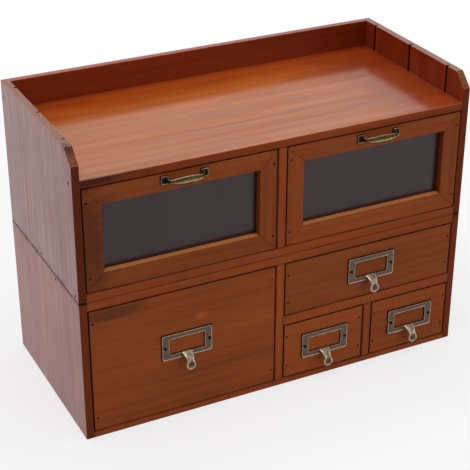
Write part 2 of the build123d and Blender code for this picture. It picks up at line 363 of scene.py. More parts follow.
class Grain(Effect):
    """Plain-sawn grain: growth rings round a wandering heart, fibres and open pores, drawn out along X."""

    title = "grain"
    takes = {"Place": Kind.VECTOR, "Ring spacing": Kind.NUMBER, "Wander": Kind.NUMBER}
    gives = ("Bands", "Fibre", "Pores")
    wander_stretch = (3.0, 11.0, 11.0)
    broad_stretch = (3.5, 85.0, 85.0)
    fibre_stretch = (14.0, 850.0, 850.0)
    pore_stretch = (70.0, 2400.0, 2400.0)
    ring_share = 0.45

    def wire(self, wiring: Wiring, taken: dict[str, Socket]) -> dict[str, Socket]:
        """The rings are the distance from the heart, bent by slow noise, over the ring spacing.

        Args:
            wiring: The group's wiring.
            taken: Its inputs by name.

        Returns:
            Its outputs by name.
        """
        place = taken["Place"]
        _, across, depth = wiring.parts(place)
        squares = wiring.math("MULTIPLY_ADD", across, across, wiring.math("POWER", depth, 2.0))
        slow = wiring.math("SUBTRACT", wiring.noise(place, self.wander_stretch), 0.5)
        bent = wiring.math("MULTIPLY_ADD", slow, taken["Wander"], wiring.math("SQRT", squares))
        turn = wiring.math("FRACT", wiring.math("DIVIDE", bent, taken["Ring spacing"]))
        late = wiring.times(wiring.step(turn, 0.25, 0.85), wiring.step(turn, 0.9, 1.0, 1.0, 0.0))
        broad = wiring.swing(wiring.noise(place, self.broad_stretch))
        bands = wiring.math("MULTIPLY_ADD", late, self.ring_share, wiring.times(broad, 1 - self.ring_share))
        fibre = wiring.noise(place, self.fibre_stretch, 3.0)
        pores = wiring.step(wiring.noise(place, self.pore_stretch, 1.0), 0.62, 0.74)
        return {"Bands": bands, "Fibre": fibre, "Pores": pores}


class Arrises(Effect):
    """Where a board's arrises are rubbed: near two faces of its box at once, and unevenly."""

    title = "arrises"
    takes = {"Place": Kind.VECTOR, "Low": Kind.VECTOR, "High": Kind.VECTOR, "Reach": Kind.VECTOR}
    gives = ("Rubbed",)
    wear_stretch = (45.0, 45.0, 45.0)

    def wire(self, wiring: Wiring, taken: dict[str, Socket]) -> dict[str, Socket]:
        """Along each axis, one minus the distance to the nearer face over the reach; then the best pair.

        Args:
            wiring: The group's wiring.
            taken: Its inputs by name.

        Returns:
            Its outputs by name.
        """
        below = wiring.vector("SUBTRACT", taken["Place"], taken["Low"])
        above = wiring.vector("SUBTRACT", taken["High"], taken["Place"])
        away = wiring.vector("DIVIDE", wiring.vector("MINIMUM", below, above), taken["Reach"])
        near = wiring.vector("SUBTRACT", (1.0, 1.0, 1.0), away)
        x, y, z = wiring.parts(wiring.vector("MAXIMUM", near, (0.0, 0.0, 0.0)))
        pairs = [wiring.times(*pair) for pair in ((x, y), (y, z), (z, x))]
        best = wiring.math("MAXIMUM", wiring.math("MAXIMUM", *pairs[:2]), pairs[2])
        uneven = wiring.noise(taken["Place"], self.wear_stretch, 3.0)
        return {"Rubbed": wiring.times(best, wiring.step(uneven, 0.35, 0.65, 0.35, 1.0))}


class Handling(Effect):
    """Soft patches that hands, cloths and dust leave in a sheen."""

    title = "handling"
    takes = {"Place": Kind.VECTOR}
    gives = ("Patches", "Specks")
    palm_stretch = (13.0, 13.0, 13.0)
    dust_stretch = (1500.0, 1500.0, 1500.0)

    def wire(self, wiring: Wiring, taken: dict[str, Socket]) -> dict[str, Socket]:
        """Two noises, one as wide as a palm and one as fine as dust.

        Args:
            wiring: The group's wiring.
            taken: Its inputs by name.

        Returns:
            Its outputs by name.
        """
        patches = wiring.swing(wiring.noise(taken["Place"], self.palm_stretch, 2.0))
        specks = wiring.step(wiring.noise(taken["Place"], self.dust_stretch, 1.0), 0.66, 0.8)
        return {"Patches": patches, "Specks": specks}


class Patina(Effect):
    """The uneven tarnish of an antiqued casting, and its sand-cast skin."""

    title = "patina"
    takes = {"Place": Kind.VECTOR}
    gives = ("Tarnish", "Skin")
    blotch_stretch = (420.0, 420.0, 420.0)
    grit_stretch = (1900.0, 1900.0, 1900.0)

    def wire(self, wiring: Wiring, taken: dict[str, Socket]) -> dict[str, Socket]:
        """Blotches a few millimetres wide over a fine grit."""
        blotches = wiring.step(wiring.noise(taken["Place"], self.blotch_stretch, 5.0), 0.32, 0.68)
        return {"Tarnish": blotches, "Skin": wiring.noise(taken["Place"], self.grit_stretch, 2.0)}


# Finishes

class Along(Enum):
    """The way a board's grain runs, as the turn that lays it along X."""

    X = (0.0, 0.0, 0.0)
    Y = (0.0, 0.0, -math.pi / 2)
    Z = (0.0, math.pi / 2, 0.0)

    def direction(self) -> Place:
        """The grain's own direction."""
        return {"X": (1.0, 0.0, 0.0), "Y": (0.0, 1.0, 0.0), "Z": (0.0, 0.0, 1.0)}[self.name]


class Edging(Enum):
    """What shows along a board's arrises, as the colour and the share of it."""

    RUBBED = (stain(190, 128, 90), 0.65)
    # Dark arrises: stain pooled there, and painted shade of the gaps beside them.
    SOILED = (stain(34, 11, 5), 0.9)
    PLAIN = (stain(150, 110, 74), 0.0)


@dataclass(frozen=True)
class Fitting:
    """The box of a plate screwed to a front, and of the window in it, if it has one."""

    outline: Box
    window: Box | None = None


@dataclass(frozen=True)
class ColourPatch:
    """A patch of colour, such as the flare beside a knot or the painted shadow on the tray, with its reach
    and its place in metres.
    """

    reach: Place
    colour: Colour
    share: float
    place: Place = (0.0, 0.0, 0.0)

    def at(self, place: Vector | Place) -> "ColourPatch":
        """The same mark with its middle at a place, in metres."""
        return replace(self, place=tuple(place))


@dataclass(frozen=True)
class Stock:
    """A piece of wood, and what shows on it. Shades are brightnesses, 1 for as stained.

    Polish is how much lacquer shows on faces that don't look to the front, and front_polish on those that
    do. A face that looks the dull way has the dull polish. The edge shade darkens the narrow faces, where
    the stain took darker, and the broad and edge shades set board by board are painted shade for how the
    light falls. Worn is how far a lying board is rubbed pale, away from its back and its right end, and
    ledge_highlight how far a frame's upward faces are painted light. A mitred stock is a frame of four
    members. A housed one lies in an opening, in whose gap its outline has painted shade. Dirt and painted
    shadow lie under and round the fittings, dirt round the pins, a darkening in the grooves, given as X, Y
    and reach, and dirt and painted shade along the seam, given by its Z. A cut corner is given by the Y and
    Z of its chipped arris.
    """

    node: str
    along: Along
    edging: Edging = Edging.SOILED
    polish: float = 0.1
    front_polish: float = 0.1
    dull_polish: float = 0.2
    dull_way: Place = (0.0, 0.0, 0.0)
    broad_shade: float = 1.0
    edge_shade: float = 0.92
    ledge_highlight: float = 0.0
    worn: float = 0.0
    mitred: bool = False
    housed: bool = False
    fittings: tuple[Fitting, ...] = ()
    grooves: tuple[Place, ...] = ()
    pins: tuple[Place, ...] = ()
    seam: float | None = None
    cut_corner: tuple[float, float] | None = None
    colour_patches: tuple[ColourPatch, ...] = ()


@dataclass(frozen=True)
class Board:
    """A stock under its finish: its box, and the sockets that the steps of the finish read.

    Place is where a point lies, normal is the way it faces, and grain is its place as the grain sees it.
    """

    wiring: Wiring
    stock: Stock
    low: Vector
    high: Vector
    place: Socket
    normal: Socket
    grain: Socket
    end_share: Fed

    def facing(self, direction: Place) -> Socket:
        """How squarely a face looks in a direction, from -1 to 1."""
        return self.wiring.vector("DOT_PRODUCT", self.normal, direction)

    def upward(self, start: float, end: float) -> Socket:
        """A smooth step on how squarely a face looks up."""
        return self.wiring.step(self.wiring.parts(self.normal)[2], start, end)

    def broad_share(self) -> Socket:
        """1 on the two broad faces and 0 on the narrow ones, from how squarely each faces the thickness.

        Returns:
            The share.
        """
        size = self.high - self.low
        thin = tuple(1.0 if length == min(size) else 0.0 for length in size)
        return self.wiring.step(self.wiring.math("ABSOLUTE", self.facing(thin)), 0.5, 0.9)

    def beyond(self, low: Vector, high: Vector) -> Socket:
        """How far a place is outside an upright rectangle, seen from the front, and less than 0 inside it.

        Args:
            low: The rectangle's lowest corner.
            high: The rectangle's highest corner.

        Returns:
            The distance in metres.
        """
        x, _, z = self.wiring.offsets(self.place, (low + high) / 2)
        beyond_x = self.wiring.math("SUBTRACT", x, (high.x - low.x) / 2)
        beyond_z = self.wiring.math("SUBTRACT", z, (high.z - low.z) / 2)
        return self.wiring.math("MAXIMUM", beyond_x, beyond_z)


def turned(wiring: Wiring, place: Socket, along: Along, centre: Vector, heart: Place) -> Socket:
    """A place on a board as the grain sees it: turned along X, and set off from the tree's heart.

    Args:
        wiring: The material's wiring.
        place: The place in metres.
        along: The way the grain runs.
        centre: The board's centre.
        heart: The centre's distance from the heart, along, across and deep.

    Returns:
        The turned place.
    """
    node = wiring.add("ShaderNodeMapping", vector_type="POINT")
    wiring.feed(node.inputs["Vector"], wiring.vector("SUBTRACT", place, tuple(centre)))
    node.inputs["Rotation"].default_value = along.value
    node.inputs["Location"].default_value = heart
    return node.outputs["Vector"]


def lay_out(stock: Stock, wiring: Wiring) -> Board:
    """Give a stock its own stretch of grain, by chance.

    In a mitred frame the grain runs up the stiles, which are the places nearer to a side than to the top or
    the bottom, and no end grain shows. Elsewhere end grain is what faces squarely along the grain.

    Args:
        stock: The stock.
        wiring: The material's wiring.

    Returns:
        The board.
    """
    low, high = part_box(stock.node)
    centre = (low + high) / 2
    coordinates = wiring.add("ShaderNodeTexCoord")
    place, normal = coordinates.outputs["Object"], coordinates.outputs["Normal"]
    heart = tuple(random.uniform(*HEART_RANGE))
    grain = turned(wiring, place, stock.along, centre, heart)
    if stock.mitred:
        x, _, z = wiring.offsets(place, centre)
        from_side = wiring.math("SUBTRACT", (high.x - low.x) / 2, x)
        from_top = wiring.math("SUBTRACT", (high.z - low.z) / 2, z)
        in_stile = wiring.math("LESS_THAN", from_side, from_top)
        grain = wiring.mix_places(in_stile, grain, turned(wiring, place, Along.Z, centre, heart))
        end_share = 0.0
    else:
        squarely = wiring.vector("DOT_PRODUCT", normal, stock.along.direction())
        end_share = wiring.step(wiring.math("ABSOLUTE", squarely), 0.35, 0.6)
    return Board(wiring, stock, low, high, place, normal, grain, end_share)


@dataclass(frozen=True)
class WoodFinish:
    """Stained wood under a satin lacquer. Reaches are metres, stretches are swings of noise per metre."""

    early: Colour
    late: Colour
    end: Colour
    glow: Colour
    ring_spacing: float = 0.011
    wander: float = 0.03
    roughness: float = 0.36
    wood_ior: float = 1.12
    coat_roughness: float = 0.21
    coat_ior: float = 1.56
    arris_reach: float = 0.0014
    board_shade: float = 0.03
    cloud_share: float = 0.5
    pore_share: float = 0.3
    relief_depth: float = 0.00012
    fibre_depth: float = 0.06
    streak_depth: float = 0.17
    # Dark colour: dirt round pins and chips, and painted shade in gaps, round plates and along the seam.
    grime_and_shade: Colour = stain(20, 7, 3)
    darkening_share: float = 0.95
    plate_shadow_share: float = 0.9
    smudge_share: float = 0.62
    plate_shadow_reach: float = 0.0011
    gap_reach: float = 0.0009
    pin_stain: float = 0.0017
    chip_reach: float = 0.014
    seam_reach: float = 0.0023
    # Pale colour painted on a frame's ledge below the pane as a highlight, where light falls on it.
    ledge: Colour = stain(224, 146, 86)
    worn_early: Colour = stain(174, 96, 36)
    worn_late: Colour = stain(150, 74, 22)
    worn_from_back: tuple[float, float] = (0.015, 0.075)
    worn_from_right: tuple[float, float] = (0.03, 0.14)
    worn_waver: float = 0.05
    drift_shades: tuple[float, float] = (0.92, 1.06)
    patch_roughness: tuple[float, float] = (-0.04, 0.05)
    pore_roughness: float = 0.12
    end_roughness: float = 0.15
    cloud_stretch: Place = (4.0, 15.0, 15.0)
    drift_stretch: Place = (3.0, 24.0, 24.0)
    streak_stretch: Place = (7.0, 260.0, 260.0)
    mottle_stretch: Place = (500.0, 500.0, 500.0)
    ragged_stretch: Place = (190.0, 190.0, 190.0)
    smudge_stretch: Place = (40.0, 40.0, 40.0)
    colour_patch_stretch: Place = (35.0, 35.0, 140.0)
    worn_stretch: Place = (9.0, 30.0, 30.0)

    def material(self, stock: Stock) -> bpy.types.Material:
        """The finish on one stock.

        Args:
            stock: The stock.

        Returns:
            The material.
        """
        material, wiring, shader = blank_material(f"{stock.node}_finish")
        board = lay_out(stock, wiring)
        shade = float(1 + random.uniform(-self.board_shade, self.board_shade))
        bands, fibre, pores = Grain().place(wiring, board.grain, self.ring_spacing, self.wander)
        patches, specks = Handling().place(wiring, board.grain)
        mottle = wiring.noise(board.place, self.mottle_stretch, 3.0)
        grime_and_shade_share = self.grime_and_shade_share(board, mottle)

        wood = wiring.brighten(self.stained(board, bands), self.dusk(board, shade))
        fibrous = wiring.step(fibre, 0.25, 0.75, 1 - self.fibre_depth, 1 + self.fibre_depth)
        wood = wiring.brighten(wood, fibrous)
        wood = wiring.mix(wiring.times(pores, self.pore_share), wood, self.end)
        wood = wiring.mix(grime_and_shade_share, self.shaded_and_aged(board, wood, mottle), self.grime_and_shade)

        rough = wiring.step(patches, 0.0, 1.0, *(self.roughness + more for more in self.patch_roughness))
        rough = wiring.math("MULTIPLY_ADD", pores, self.pore_roughness, rough)
        rough = wiring.math("MULTIPLY_ADD", board.end_share, self.end_roughness, rough)
        height = wiring.math("MULTIPLY_ADD", pores, -0.6, wiring.times(fibre, 0.5))
        height = wiring.math("MULTIPLY_ADD", specks, 0.15, height)
        surface = {
            "Base Color": wood,
            "Roughness": rough,
            "IOR": self.wood_ior,
            "Coat Weight": self.polish(board, grime_and_shade_share),
            "Coat Roughness": self.coat_roughness,
            "Coat IOR": self.coat_ior,
            "Normal": wiring.bump(height, self.relief_depth, 0.6),
        }
        wiring.fill(shader, surface)
        return material

    def stained(self, board: Board, bands: Socket) -> Socket:
        """The stain's colour: early and late wood, a glow in clouds, the worn stretch and the colour
        patches, which are marks in the wood and, on the tray, painted shade.

        Args:
            board: The board.
            bands: Where the late wood lies.

        Returns:
            The colour.
        """
        wiring, stock = board.wiring, board.stock
        wood = wiring.mix(bands, self.early, self.late)
        cloud = wiring.step(wiring.noise(board.grain, self.cloud_stretch, 3.0), 0.35, 0.7)
        wood = wiring.mix(wiring.times(cloud, self.cloud_share), wood, self.glow)
        if stock.worn:
            worn = wiring.mix(bands, self.worn_early, self.worn_late)
            wood = wiring.mix(wiring.times(self.worn_share(board), board.upward(0.5, 0.9)), wood, worn)
        # Colour patches: marks in the wood, and on the tray painted shadow and shade.
        for colour_patch in stock.colour_patches:
            wood = wiring.mix(self.in_colour_patch(board, colour_patch), wood, colour_patch.colour)
        return wood

    def dusk(self, board: Board, shade: float) -> Socket:
        """How bright the stain took: darker and lighter drifts round the board's own shade."""
        drifts = board.wiring.noise(board.grain, self.drift_stretch, 3.0)
        return board.wiring.swing(drifts, *(shade * drift for drift in self.drift_shades))

    def shaded_and_aged(self, board: Board, wood: Socket, mottle: Socket) -> Socket:
        """What painted shade and light, end grain and use make of the stain.

        Args:
            board: The board.
            wood: The stain's colour.
            mottle: A fine noise that speckles the end grain.

        Returns:
            The colour, with its painted shade and wear.
        """
        wiring, stock = board.wiring, board.stock
        # Painted shade: broad and narrow faces darkened board by board for how the light falls.
        shade = wiring.step(board.broad_share(), 0.0, 1.0, stock.edge_shade, stock.broad_shade)
        wood = wiring.brighten(wood, shade)
        # Painted highlight on the upward faces of a glazed frame's ledge.
        if stock.ledge_highlight:
            wood = wiring.mix(wiring.times(board.upward(0.75, 0.95), stock.ledge_highlight), wood, self.ledge)
        end_wood = wiring.brighten(self.end, wiring.step(mottle, 0.35, 0.65, 0.7, 1.3))
        wood = wiring.mix(board.end_share, wood, end_wood)
        reach = (self.arris_reach,) * 3
        rubbed = Arrises().place(wiring, board.place, tuple(board.low), tuple(board.high), reach)[0]
        colour, share = stock.edging.value
        if stock.edging is Edging.RUBBED:
            rubbed = wiring.times(rubbed, board.upward(0.2, 0.6))
        return wiring.mix(wiring.times(rubbed, share), wood, colour)

    def polish(self, board: Board, grime_and_shade_share: Fed) -> Socket:
        """How much lacquer shows: by the way a face looks, in streaks along the grain, not under dirt and
        painted shade.

        Args:
            board: The board.
            grime_and_shade_share: The share of dirt and painted shade.

        Returns:
            The weight of the coat.
        """
        wiring, stock = board.wiring, board.stock
        dull = wiring.step(board.facing(stock.dull_way), 0.5, 0.9)
        polish = wiring.step(dull, 0.0, 1.0, stock.polish, stock.dull_polish)
        frontal = wiring.math("ABSOLUTE", wiring.parts(board.normal)[1])
        polish = wiring.step(frontal, 0.3, 0.7, polish, stock.front_polish)
        streaks = wiring.noise(board.grain, self.streak_stretch, 4.0)
        streaked = wiring.swing(streaks, 1 - self.streak_depth, 1 + self.streak_depth)
        return wiring.times(wiring.times(polish, streaked), wiring.math("SUBTRACT", 1.0, grime_and_shade_share))

    def grime_and_shade_share(self, board: Board, mottle: Socket) -> Fed:
        """The share of the dark colour, dirt and painted shade: the most that any gap, plate, groove, pin,
        seam or chipped corner gives.

        Args:
            board: The board.
            mottle: A fine noise that breaks up the chips.

        Returns:
            The share.
        """
        stock = board.stock
        # Housed fronts get painted shade in the gaps round them.
        shares = [self.painted_gap_shade(board)] if stock.housed else []
        shares += [self.shadow_round_fitting(board, fitting) for fitting in stock.fittings]
        shares += [self.in_groove(board, groove) for groove in stock.grooves]
        shares += [self.round_pin(board, pin) for pin in stock.pins]
        if stock.seam is not None:
            shares.append(self.at_seam(board, stock.seam))
        if stock.cut_corner:
            shares.append(self.at_chips(board, stock.cut_corner, mottle))
        most = 0.0
        for share in shares:
            most = board.wiring.math("MAXIMUM", most, share)
        return most

    def painted_gap_shade(self, board: Board) -> Socket:
        """Painted shade in the gap along the outline of a front, which fades behind its front face.

        Args:
            board: The board.

        Returns:
            The share.
        """
        wiring = board.wiring
        beyond = board.beyond(board.low, board.high)
        at_edge = wiring.step(beyond, -self.gap_reach, -0.2 * self.gap_reach, 0.0, self.darkening_share)
        start, end = (board.low.y + count * self.gap_reach for count in (2, 4))
        return wiring.times(at_edge, wiring.step(wiring.parts(board.place)[1], start, end, 1.0, 0.15))

    def shadow_round_fitting(self, board: Board, fitting: Fitting) -> Socket:
        """Painted shadow and dirt under a plate and round its outline, but not in its window.

        Args:
            board: The board.
            fitting: The plate and its window.

        Returns:
            The share.
        """
        wiring = board.wiring
        outside = board.beyond(*fitting.outline)
        share = wiring.step(outside, 0.2 * self.plate_shadow_reach, self.plate_shadow_reach, self.plate_shadow_share, 0.0)
        if not fitting.window:
            return share
        out_of_window = wiring.step(board.beyond(*fitting.window), -self.gap_reach, -0.3 * self.gap_reach)
        return wiring.times(share, out_of_window)

    def in_groove(self, board: Board, groove: Place) -> Socket:
        """A darkening round an upright groove, twice as far across the board's thickness as along its face.

        Args:
            board: The board.
            groove: Its X, Y and reach.

        Returns:
            The share.
        """
        x, y, reach = groove
        deep, along, _ = board.wiring.offsets(board.place, Vector((x, y, 0.0)))
        near = board.wiring.math("MAXIMUM", board.wiring.times(deep, 0.5), along)
        return board.wiring.step(near, 0.7 * reach, reach, self.darkening_share, 0.0)

    def round_pin(self, board: Board, pin: Place) -> Socket:
        """Grime round the end of a pin."""
        away = board.wiring.length(board.wiring.vector("SUBTRACT", board.place, pin))
        return board.wiring.step(away, 0.6 * self.pin_stain, self.pin_stain, self.darkening_share, 0.0)

    def at_seam(self, board: Board, seam: float) -> Socket:
        """A ragged dark line of dirt and painted shade along the seam, and smudges in patches on both sides
        of it.

        Args:
            board: The board.
            seam: The Z of the seam.

        Returns:
            The share.
        """
        wiring, reach = board.wiring, self.seam_reach
        away = wiring.offsets(board.place, Vector((0.0, 0.0, seam)))[2]
        ragged = wiring.step(wiring.noise(board.place, self.ragged_stretch, 3.0), 0.35, 0.6, 0.45, 1.0)
        line = wiring.times(wiring.step(away, 0.3 * reach, reach, self.darkening_share, 0.0), ragged)
        patches = wiring.step(wiring.noise(board.place, self.smudge_stretch, 4.0), 0.45, 0.6)
        smudge = wiring.times(wiring.step(away, 0.0, 3.5 * reach, self.smudge_share, 0.0), patches)
        return wiring.math("MAXIMUM", line, smudge)

    def at_chips(self, board: Board, arris: tuple[float, float], mottle: Socket) -> Socket:
        """Dark chips along an arris that runs along X, given by its Y and Z.

        Args:
            board: The board.
            arris: Its Y and Z.
            mottle: A fine noise that breaks up the chips.

        Returns:
            The share.
        """
        wiring = board.wiring
        off = wiring.vector("SUBTRACT", board.place, (0.0, *arris))
        away = wiring.length(wiring.vector("MULTIPLY", off, (0.0, 1.0, 1.0)))
        near = wiring.step(away, 0.1 * self.chip_reach, self.chip_reach, 1.0, 0.0)
        return wiring.times(near, wiring.step(mottle, 0.45, 0.6, 0.15, 1.0))

    def in_colour_patch(self, board: Board, colour_patch: ColourPatch) -> Socket:
        """The share of a colour patch: full near its middle and 0 past its reach, with a wavering outline.

        Args:
            board: The board.
            colour_patch: The patch.

        Returns:
            The share.
        """
        wiring = board.wiring
        off = wiring.vector("DIVIDE", wiring.vector("SUBTRACT", board.place, colour_patch.place), colour_patch.reach)
        waver = wiring.math("SUBTRACT", wiring.noise(board.place, self.colour_patch_stretch, 3.0), 0.5)
        return wiring.step(wiring.math("ADD", wiring.length(off), waver), 0.25, 1.0, colour_patch.share, 0.0)

    def worn_share(self, board: Board) -> Socket:
        """How far a lying board is rubbed pale: a step away from its back, times one from its right end.

        Args:
            board: The board.

        Returns:
            The share.
        """
        wiring = board.wiring
        waver = wiring.math("SUBTRACT", wiring.noise(board.place, self.worn_stretch, 3.0), 0.5)
        waver = wiring.times(waver, self.worn_waver)
        off = wiring.parts(wiring.vector("SUBTRACT", tuple(board.high), board.place))
        from_right, from_back = (wiring.math("ADD", away, waver) for away in off[:2])
        share = wiring.step(from_back, *self.worn_from_back, 0.0, board.stock.worn)
        return wiring.times(share, wiring.step(from_right, *self.worn_from_right))


@dataclass(frozen=True)
class PaneFinish:
    """Smoked glass whose dark colour is also painted shade for the drawer's unlit inside behind it, with a
    soft sheen, traces of wiping and specks of dust.
    """

    dark: Colour
    wiped: Colour
    dust: Colour = (0.2, 0.2, 0.2)
    dust_share: float = 0.05
    roughness: float = 0.24
    wiped_roughness: float = 0.27
    ior: float = 1.45

    def material(self, name: str) -> bpy.types.Material:
        """The finish for one pane.

        Args:
            name: The material's name.

        Returns:
            The material.
        """
        material, wiring, shader = blank_material(name)
        patches, specks = Handling().place(wiring, wiring.object_place())
        colour = wiring.mix(patches, self.dark, self.wiped)
        surface = {
            "Base Color": wiring.mix(wiring.times(specks, self.dust_share), colour, self.dust),
            "Roughness": wiring.step(patches, 0.0, 1.0, self.roughness, self.wiped_roughness),
            "IOR": self.ior,
        }
        wiring.fill(shader, surface)
        return material


@dataclass(frozen=True)
class CastFinish:
    """An antiqued casting, dark in its hollows and rubbed bright on its rims.

    A piece's relief attribute says how exposed a point is, from 0 to 1, with -1 on walls that are never
    rubbed, and its warmth how brassy.
    """

    slot: str
    soiled: Colour
    cool_hollow: Colour
    cool_rubbed: Colour
    warm_hollow: Colour
    warm_rubbed: Colour
    roughness: float = 0.36
    hollow_roughness: float = 0.56
    tarnish_share: float = 0.3
    skin_shades: tuple[float, float] = (0.88, 1.1)
    skin_depth: float = 0.0001

    def material(self, name: str) -> bpy.types.Material:
        """The finish for one casting.

        Args:
            name: The material's name.

        Returns:
            The material.
        """
        material, wiring, shader = blank_material(name)
        tarnish, skin = Patina().place(wiring, wiring.object_place())
        relief = wiring.add("ShaderNodeAttribute", attribute_name="relief").outputs["Fac"]
        warmth = wiring.add("ShaderNodeAttribute", attribute_name="warmth").outputs["Fac"]
        spots = wiring.math("SUBTRACT", tarnish, 0.5)
        exposed = wiring.math("MULTIPLY_ADD", spots, -self.tarnish_share, relief)
        exposed = wiring.step(exposed, 0.0, 1.0)
        hollow = wiring.mix(warmth, self.cool_hollow, self.warm_hollow)
        bright = wiring.mix(warmth, self.cool_rubbed, self.warm_rubbed)
        colour = wiring.mix(exposed, hollow, bright)
        colour = wiring.mix(wiring.step(relief, -0.9, -0.1, 1.0, 0.0), colour, self.soiled)
        surface = {
            "Base Color": wiring.brighten(colour, wiring.swing(skin, *self.skin_shades)),
            "Metallic": 1.0,
            "Roughness": wiring.step(exposed, 0.0, 1.0, self.hollow_roughness, self.roughness),
            "Normal": wiring.bump(skin, self.skin_depth, 0.5),
        }
        wiring.fill(shader, surface)
        return material


@dataclass(frozen=True)
class SteelFinish:
    """Blackened steel with a little shine left on what stands proud."""

    dark: Colour
    bright: Colour
    metallic: float = 0.1
    roughness: float = 0.6
    rough_spots: float = 0.8
    ior: float = 1.15
    skin_depth: float = 0.00005

    def material(self, name: str) -> bpy.types.Material:
        """The finish for a set of pins and screws.

        Args:
            name: The material's name.

        Returns:
            The material.
        """
        material, wiring, shader = blank_material(name)
        tarnish, skin = Patina().place(wiring, wiring.object_place())
        surface = {
            "Base Color": wiring.mix(tarnish, self.bright, self.dark),
            "Metallic": self.metallic,
            "IOR": self.ior,
            "Roughness": wiring.swing(skin, self.roughness, self.rough_spots),
            "Normal": wiring.bump(skin, self.skin_depth, 0.4),
        }
        wiring.fill(shader, surface)
        return material


CASE_WOOD = WoodFinish(
    early=stain(146, 66, 20), late=stain(128, 54, 15), end=stain(122, 66, 34), glow=stain(160, 79, 24)
)
SIDE_WOOD = WoodFinish(
    early=stain(150, 53, 18),
    late=stain(130, 41, 14),
    end=stain(116, 66, 44),
    glow=stain(158, 62, 20),
    pin_stain=0.0026,
    streak_depth=0.2,
)
TRAY_WOOD = WoodFinish(
    early=stain(142, 56, 12),
    late=stain(124, 45, 9),
    end=stain(112, 58, 36),
    glow=stain(160, 74, 18),
    coat_roughness=0.15,
    streak_depth=0.24,
)
FRONT_WOOD = WoodFinish(
    early=stain(138, 64, 20),
    late=stain(119, 54, 16),
    end=stain(80, 34, 13),
    glow=stain(152, 72, 24),
    fibre_depth=0.1,
)
DRAWER_WOOD = WoodFinish(
    early=stain(206, 168, 126),
    late=stain(186, 142, 98),
    end=stain(164, 122, 84),
    glow=stain(212, 176, 132),
    roughness=0.55,
    wood_ior=1.4,
)
DOWEL_WOOD = WoodFinish(
    early=stain(214, 184, 142),
    late=stain(198, 160, 116),
    end=stain(180, 144, 104),
    glow=stain(218, 190, 150),
    roughness=0.6,
    wood_ior=1.4,
)
# The pane's dark colour is smoked glass plus painted shade of the drawer's inside behind it.
SMOKED_PANE = PaneFinish(dark=stain(43, 20, 23), wiped=stain(46, 24, 27), ior=1.43)
AGED_PEWTER = CastFinish(
    slot="aged_pewter",
    soiled=stain(16, 10, 8),
    cool_hollow=stain(92, 77, 68),
    cool_rubbed=stain(164, 146, 126),
    warm_hollow=stain(62, 54, 36),
    warm_rubbed=stain(206, 190, 166),
)
AGED_BRASS = CastFinish(
    slot="aged_brass",
    soiled=stain(16, 12, 8),
    cool_hollow=stain(46, 44, 36),
    cool_rubbed=stain(138, 128, 104),
    warm_hollow=stain(54, 47, 20),
    warm_rubbed=stain(147, 122, 84),
)
BLACK_STEEL = SteelFinish(dark=stain(10, 8, 8), bright=stain(30, 26, 24))


def dress(node: str, material: bpy.types.Material) -> None:
    """Give a CAD node its finish.

    Args:
        node: The node.
        material: Its finish.
    """
    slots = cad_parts[node].data.materials
    slots.clear()
    slots.append(material)
    log.info("dressed %s", node)


# Surfaces

@dataclass
class Patch:
    """A closed skin on a grid: rows along it and columns round it, in millimetres.

    Relief is how exposed each point is, 0 to 1, and warmth how brassy the skin is.
    """

    points: np.ndarray
    relief: np.ndarray
    warmth: float = 0.0
    ring: bool = False

    def quads(self, first: int) -> np.ndarray:
        """Four corners for each cell: a point, its neighbour round the skin, and the same two a row on.

        Args:
            first: The number of the patch's first point.

        Returns:
            The cells, one to a row.
        """
        rows, columns = self.points.shape[:2]
        row = columns * np.arange(rows if self.ring else rows - 1)[:, None]
        onward = (row + columns) % (rows * columns)
        column = np.arange(columns)[None, :]
        beside = (column + 1) % columns
        corners = (row + column, row + beside, onward + beside, onward + column)
        return np.stack(corners, axis=-1).reshape(-1, 4) + first


def make_piece(
    name: str, patches: list[Patch], body: str, material: bpy.types.Material
) -> bpy.types.Object:
    """Make one piece of several skins, welded where their rows close to a point.

    Args:
        name: The piece's name.
        patches: Its skins.
        body: The body that it rides on.
        material: Its finish.

    Returns:
        The piece.
    """
    counts = np.array([patch.relief.size for patch in patches])
    firsts = np.concatenate(([0], np.cumsum(counts)[:-1]))
    quads = np.concatenate([patch.quads(int(first)) for patch, first in zip(patches, firsts)])
    points = np.concatenate([patch.points.reshape(-1, 3) for patch in patches]) * MM
    mesh = bpy.data.meshes.new(name)
    mesh.from_pydata(points.tolist(), [], quads.tolist())
    values = {
        "relief": np.concatenate([patch.relief.ravel() for patch in patches]),
        "warmth": np.repeat([patch.warmth for patch in patches], counts),
    }
    for title, value in values.items():
        attribute = mesh.attributes.new(title, "FLOAT", "POINT")
        attribute.data.foreach_set("value", value.astype(np.float32))
    shell = bmesh.new()
    shell.from_mesh(mesh)
    bmesh.ops.remove_doubles(shell, verts=shell.verts, dist=WELD_REACH)
    bmesh.ops.recalc_face_normals(shell, faces=shell.faces)
    shell.to_mesh(mesh)
    shell.free()
    mesh.shade_smooth()
    mesh.set_sharp_from_angle(angle=CRISP_ANGLE)
    mesh.materials.append(material)
    piece = bpy.data.objects.new(name, mesh)
    bpy.context.scene.collection.objects.link(piece)
    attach(piece, body)
    log.info("made %s with %d faces", name, len(mesh.polygons))
    return piece


def cast_piece(
    drawer: str, part: str, patches: list[Patch], origin: np.ndarray, finish: CastFinish
) -> None:
    """Make one of a drawer's castings in the place of its CAD node.

    Args:
        drawer: The drawer.
        part: What the casting is.
        patches: Its skins about its own origin.
        origin: Where that origin lies, in millimetres.
        finish: Its finish.
    """
    node = f"{drawer}_{part}"
    for patch in patches:
        patch.points = patch.points + origin
    piece = make_piece(f"{node}_cast", patches, f"{drawer}_drawer", finish.material(f"{node}_finish"))
    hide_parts(node)


def bump_at(value: np.ndarray, middle: float, spread: float) -> np.ndarray:
    """A bell of height 1: e to the minus square of the distance from the middle over the spread."""
    return np.exp(-(((value - middle) / spread) ** 2))


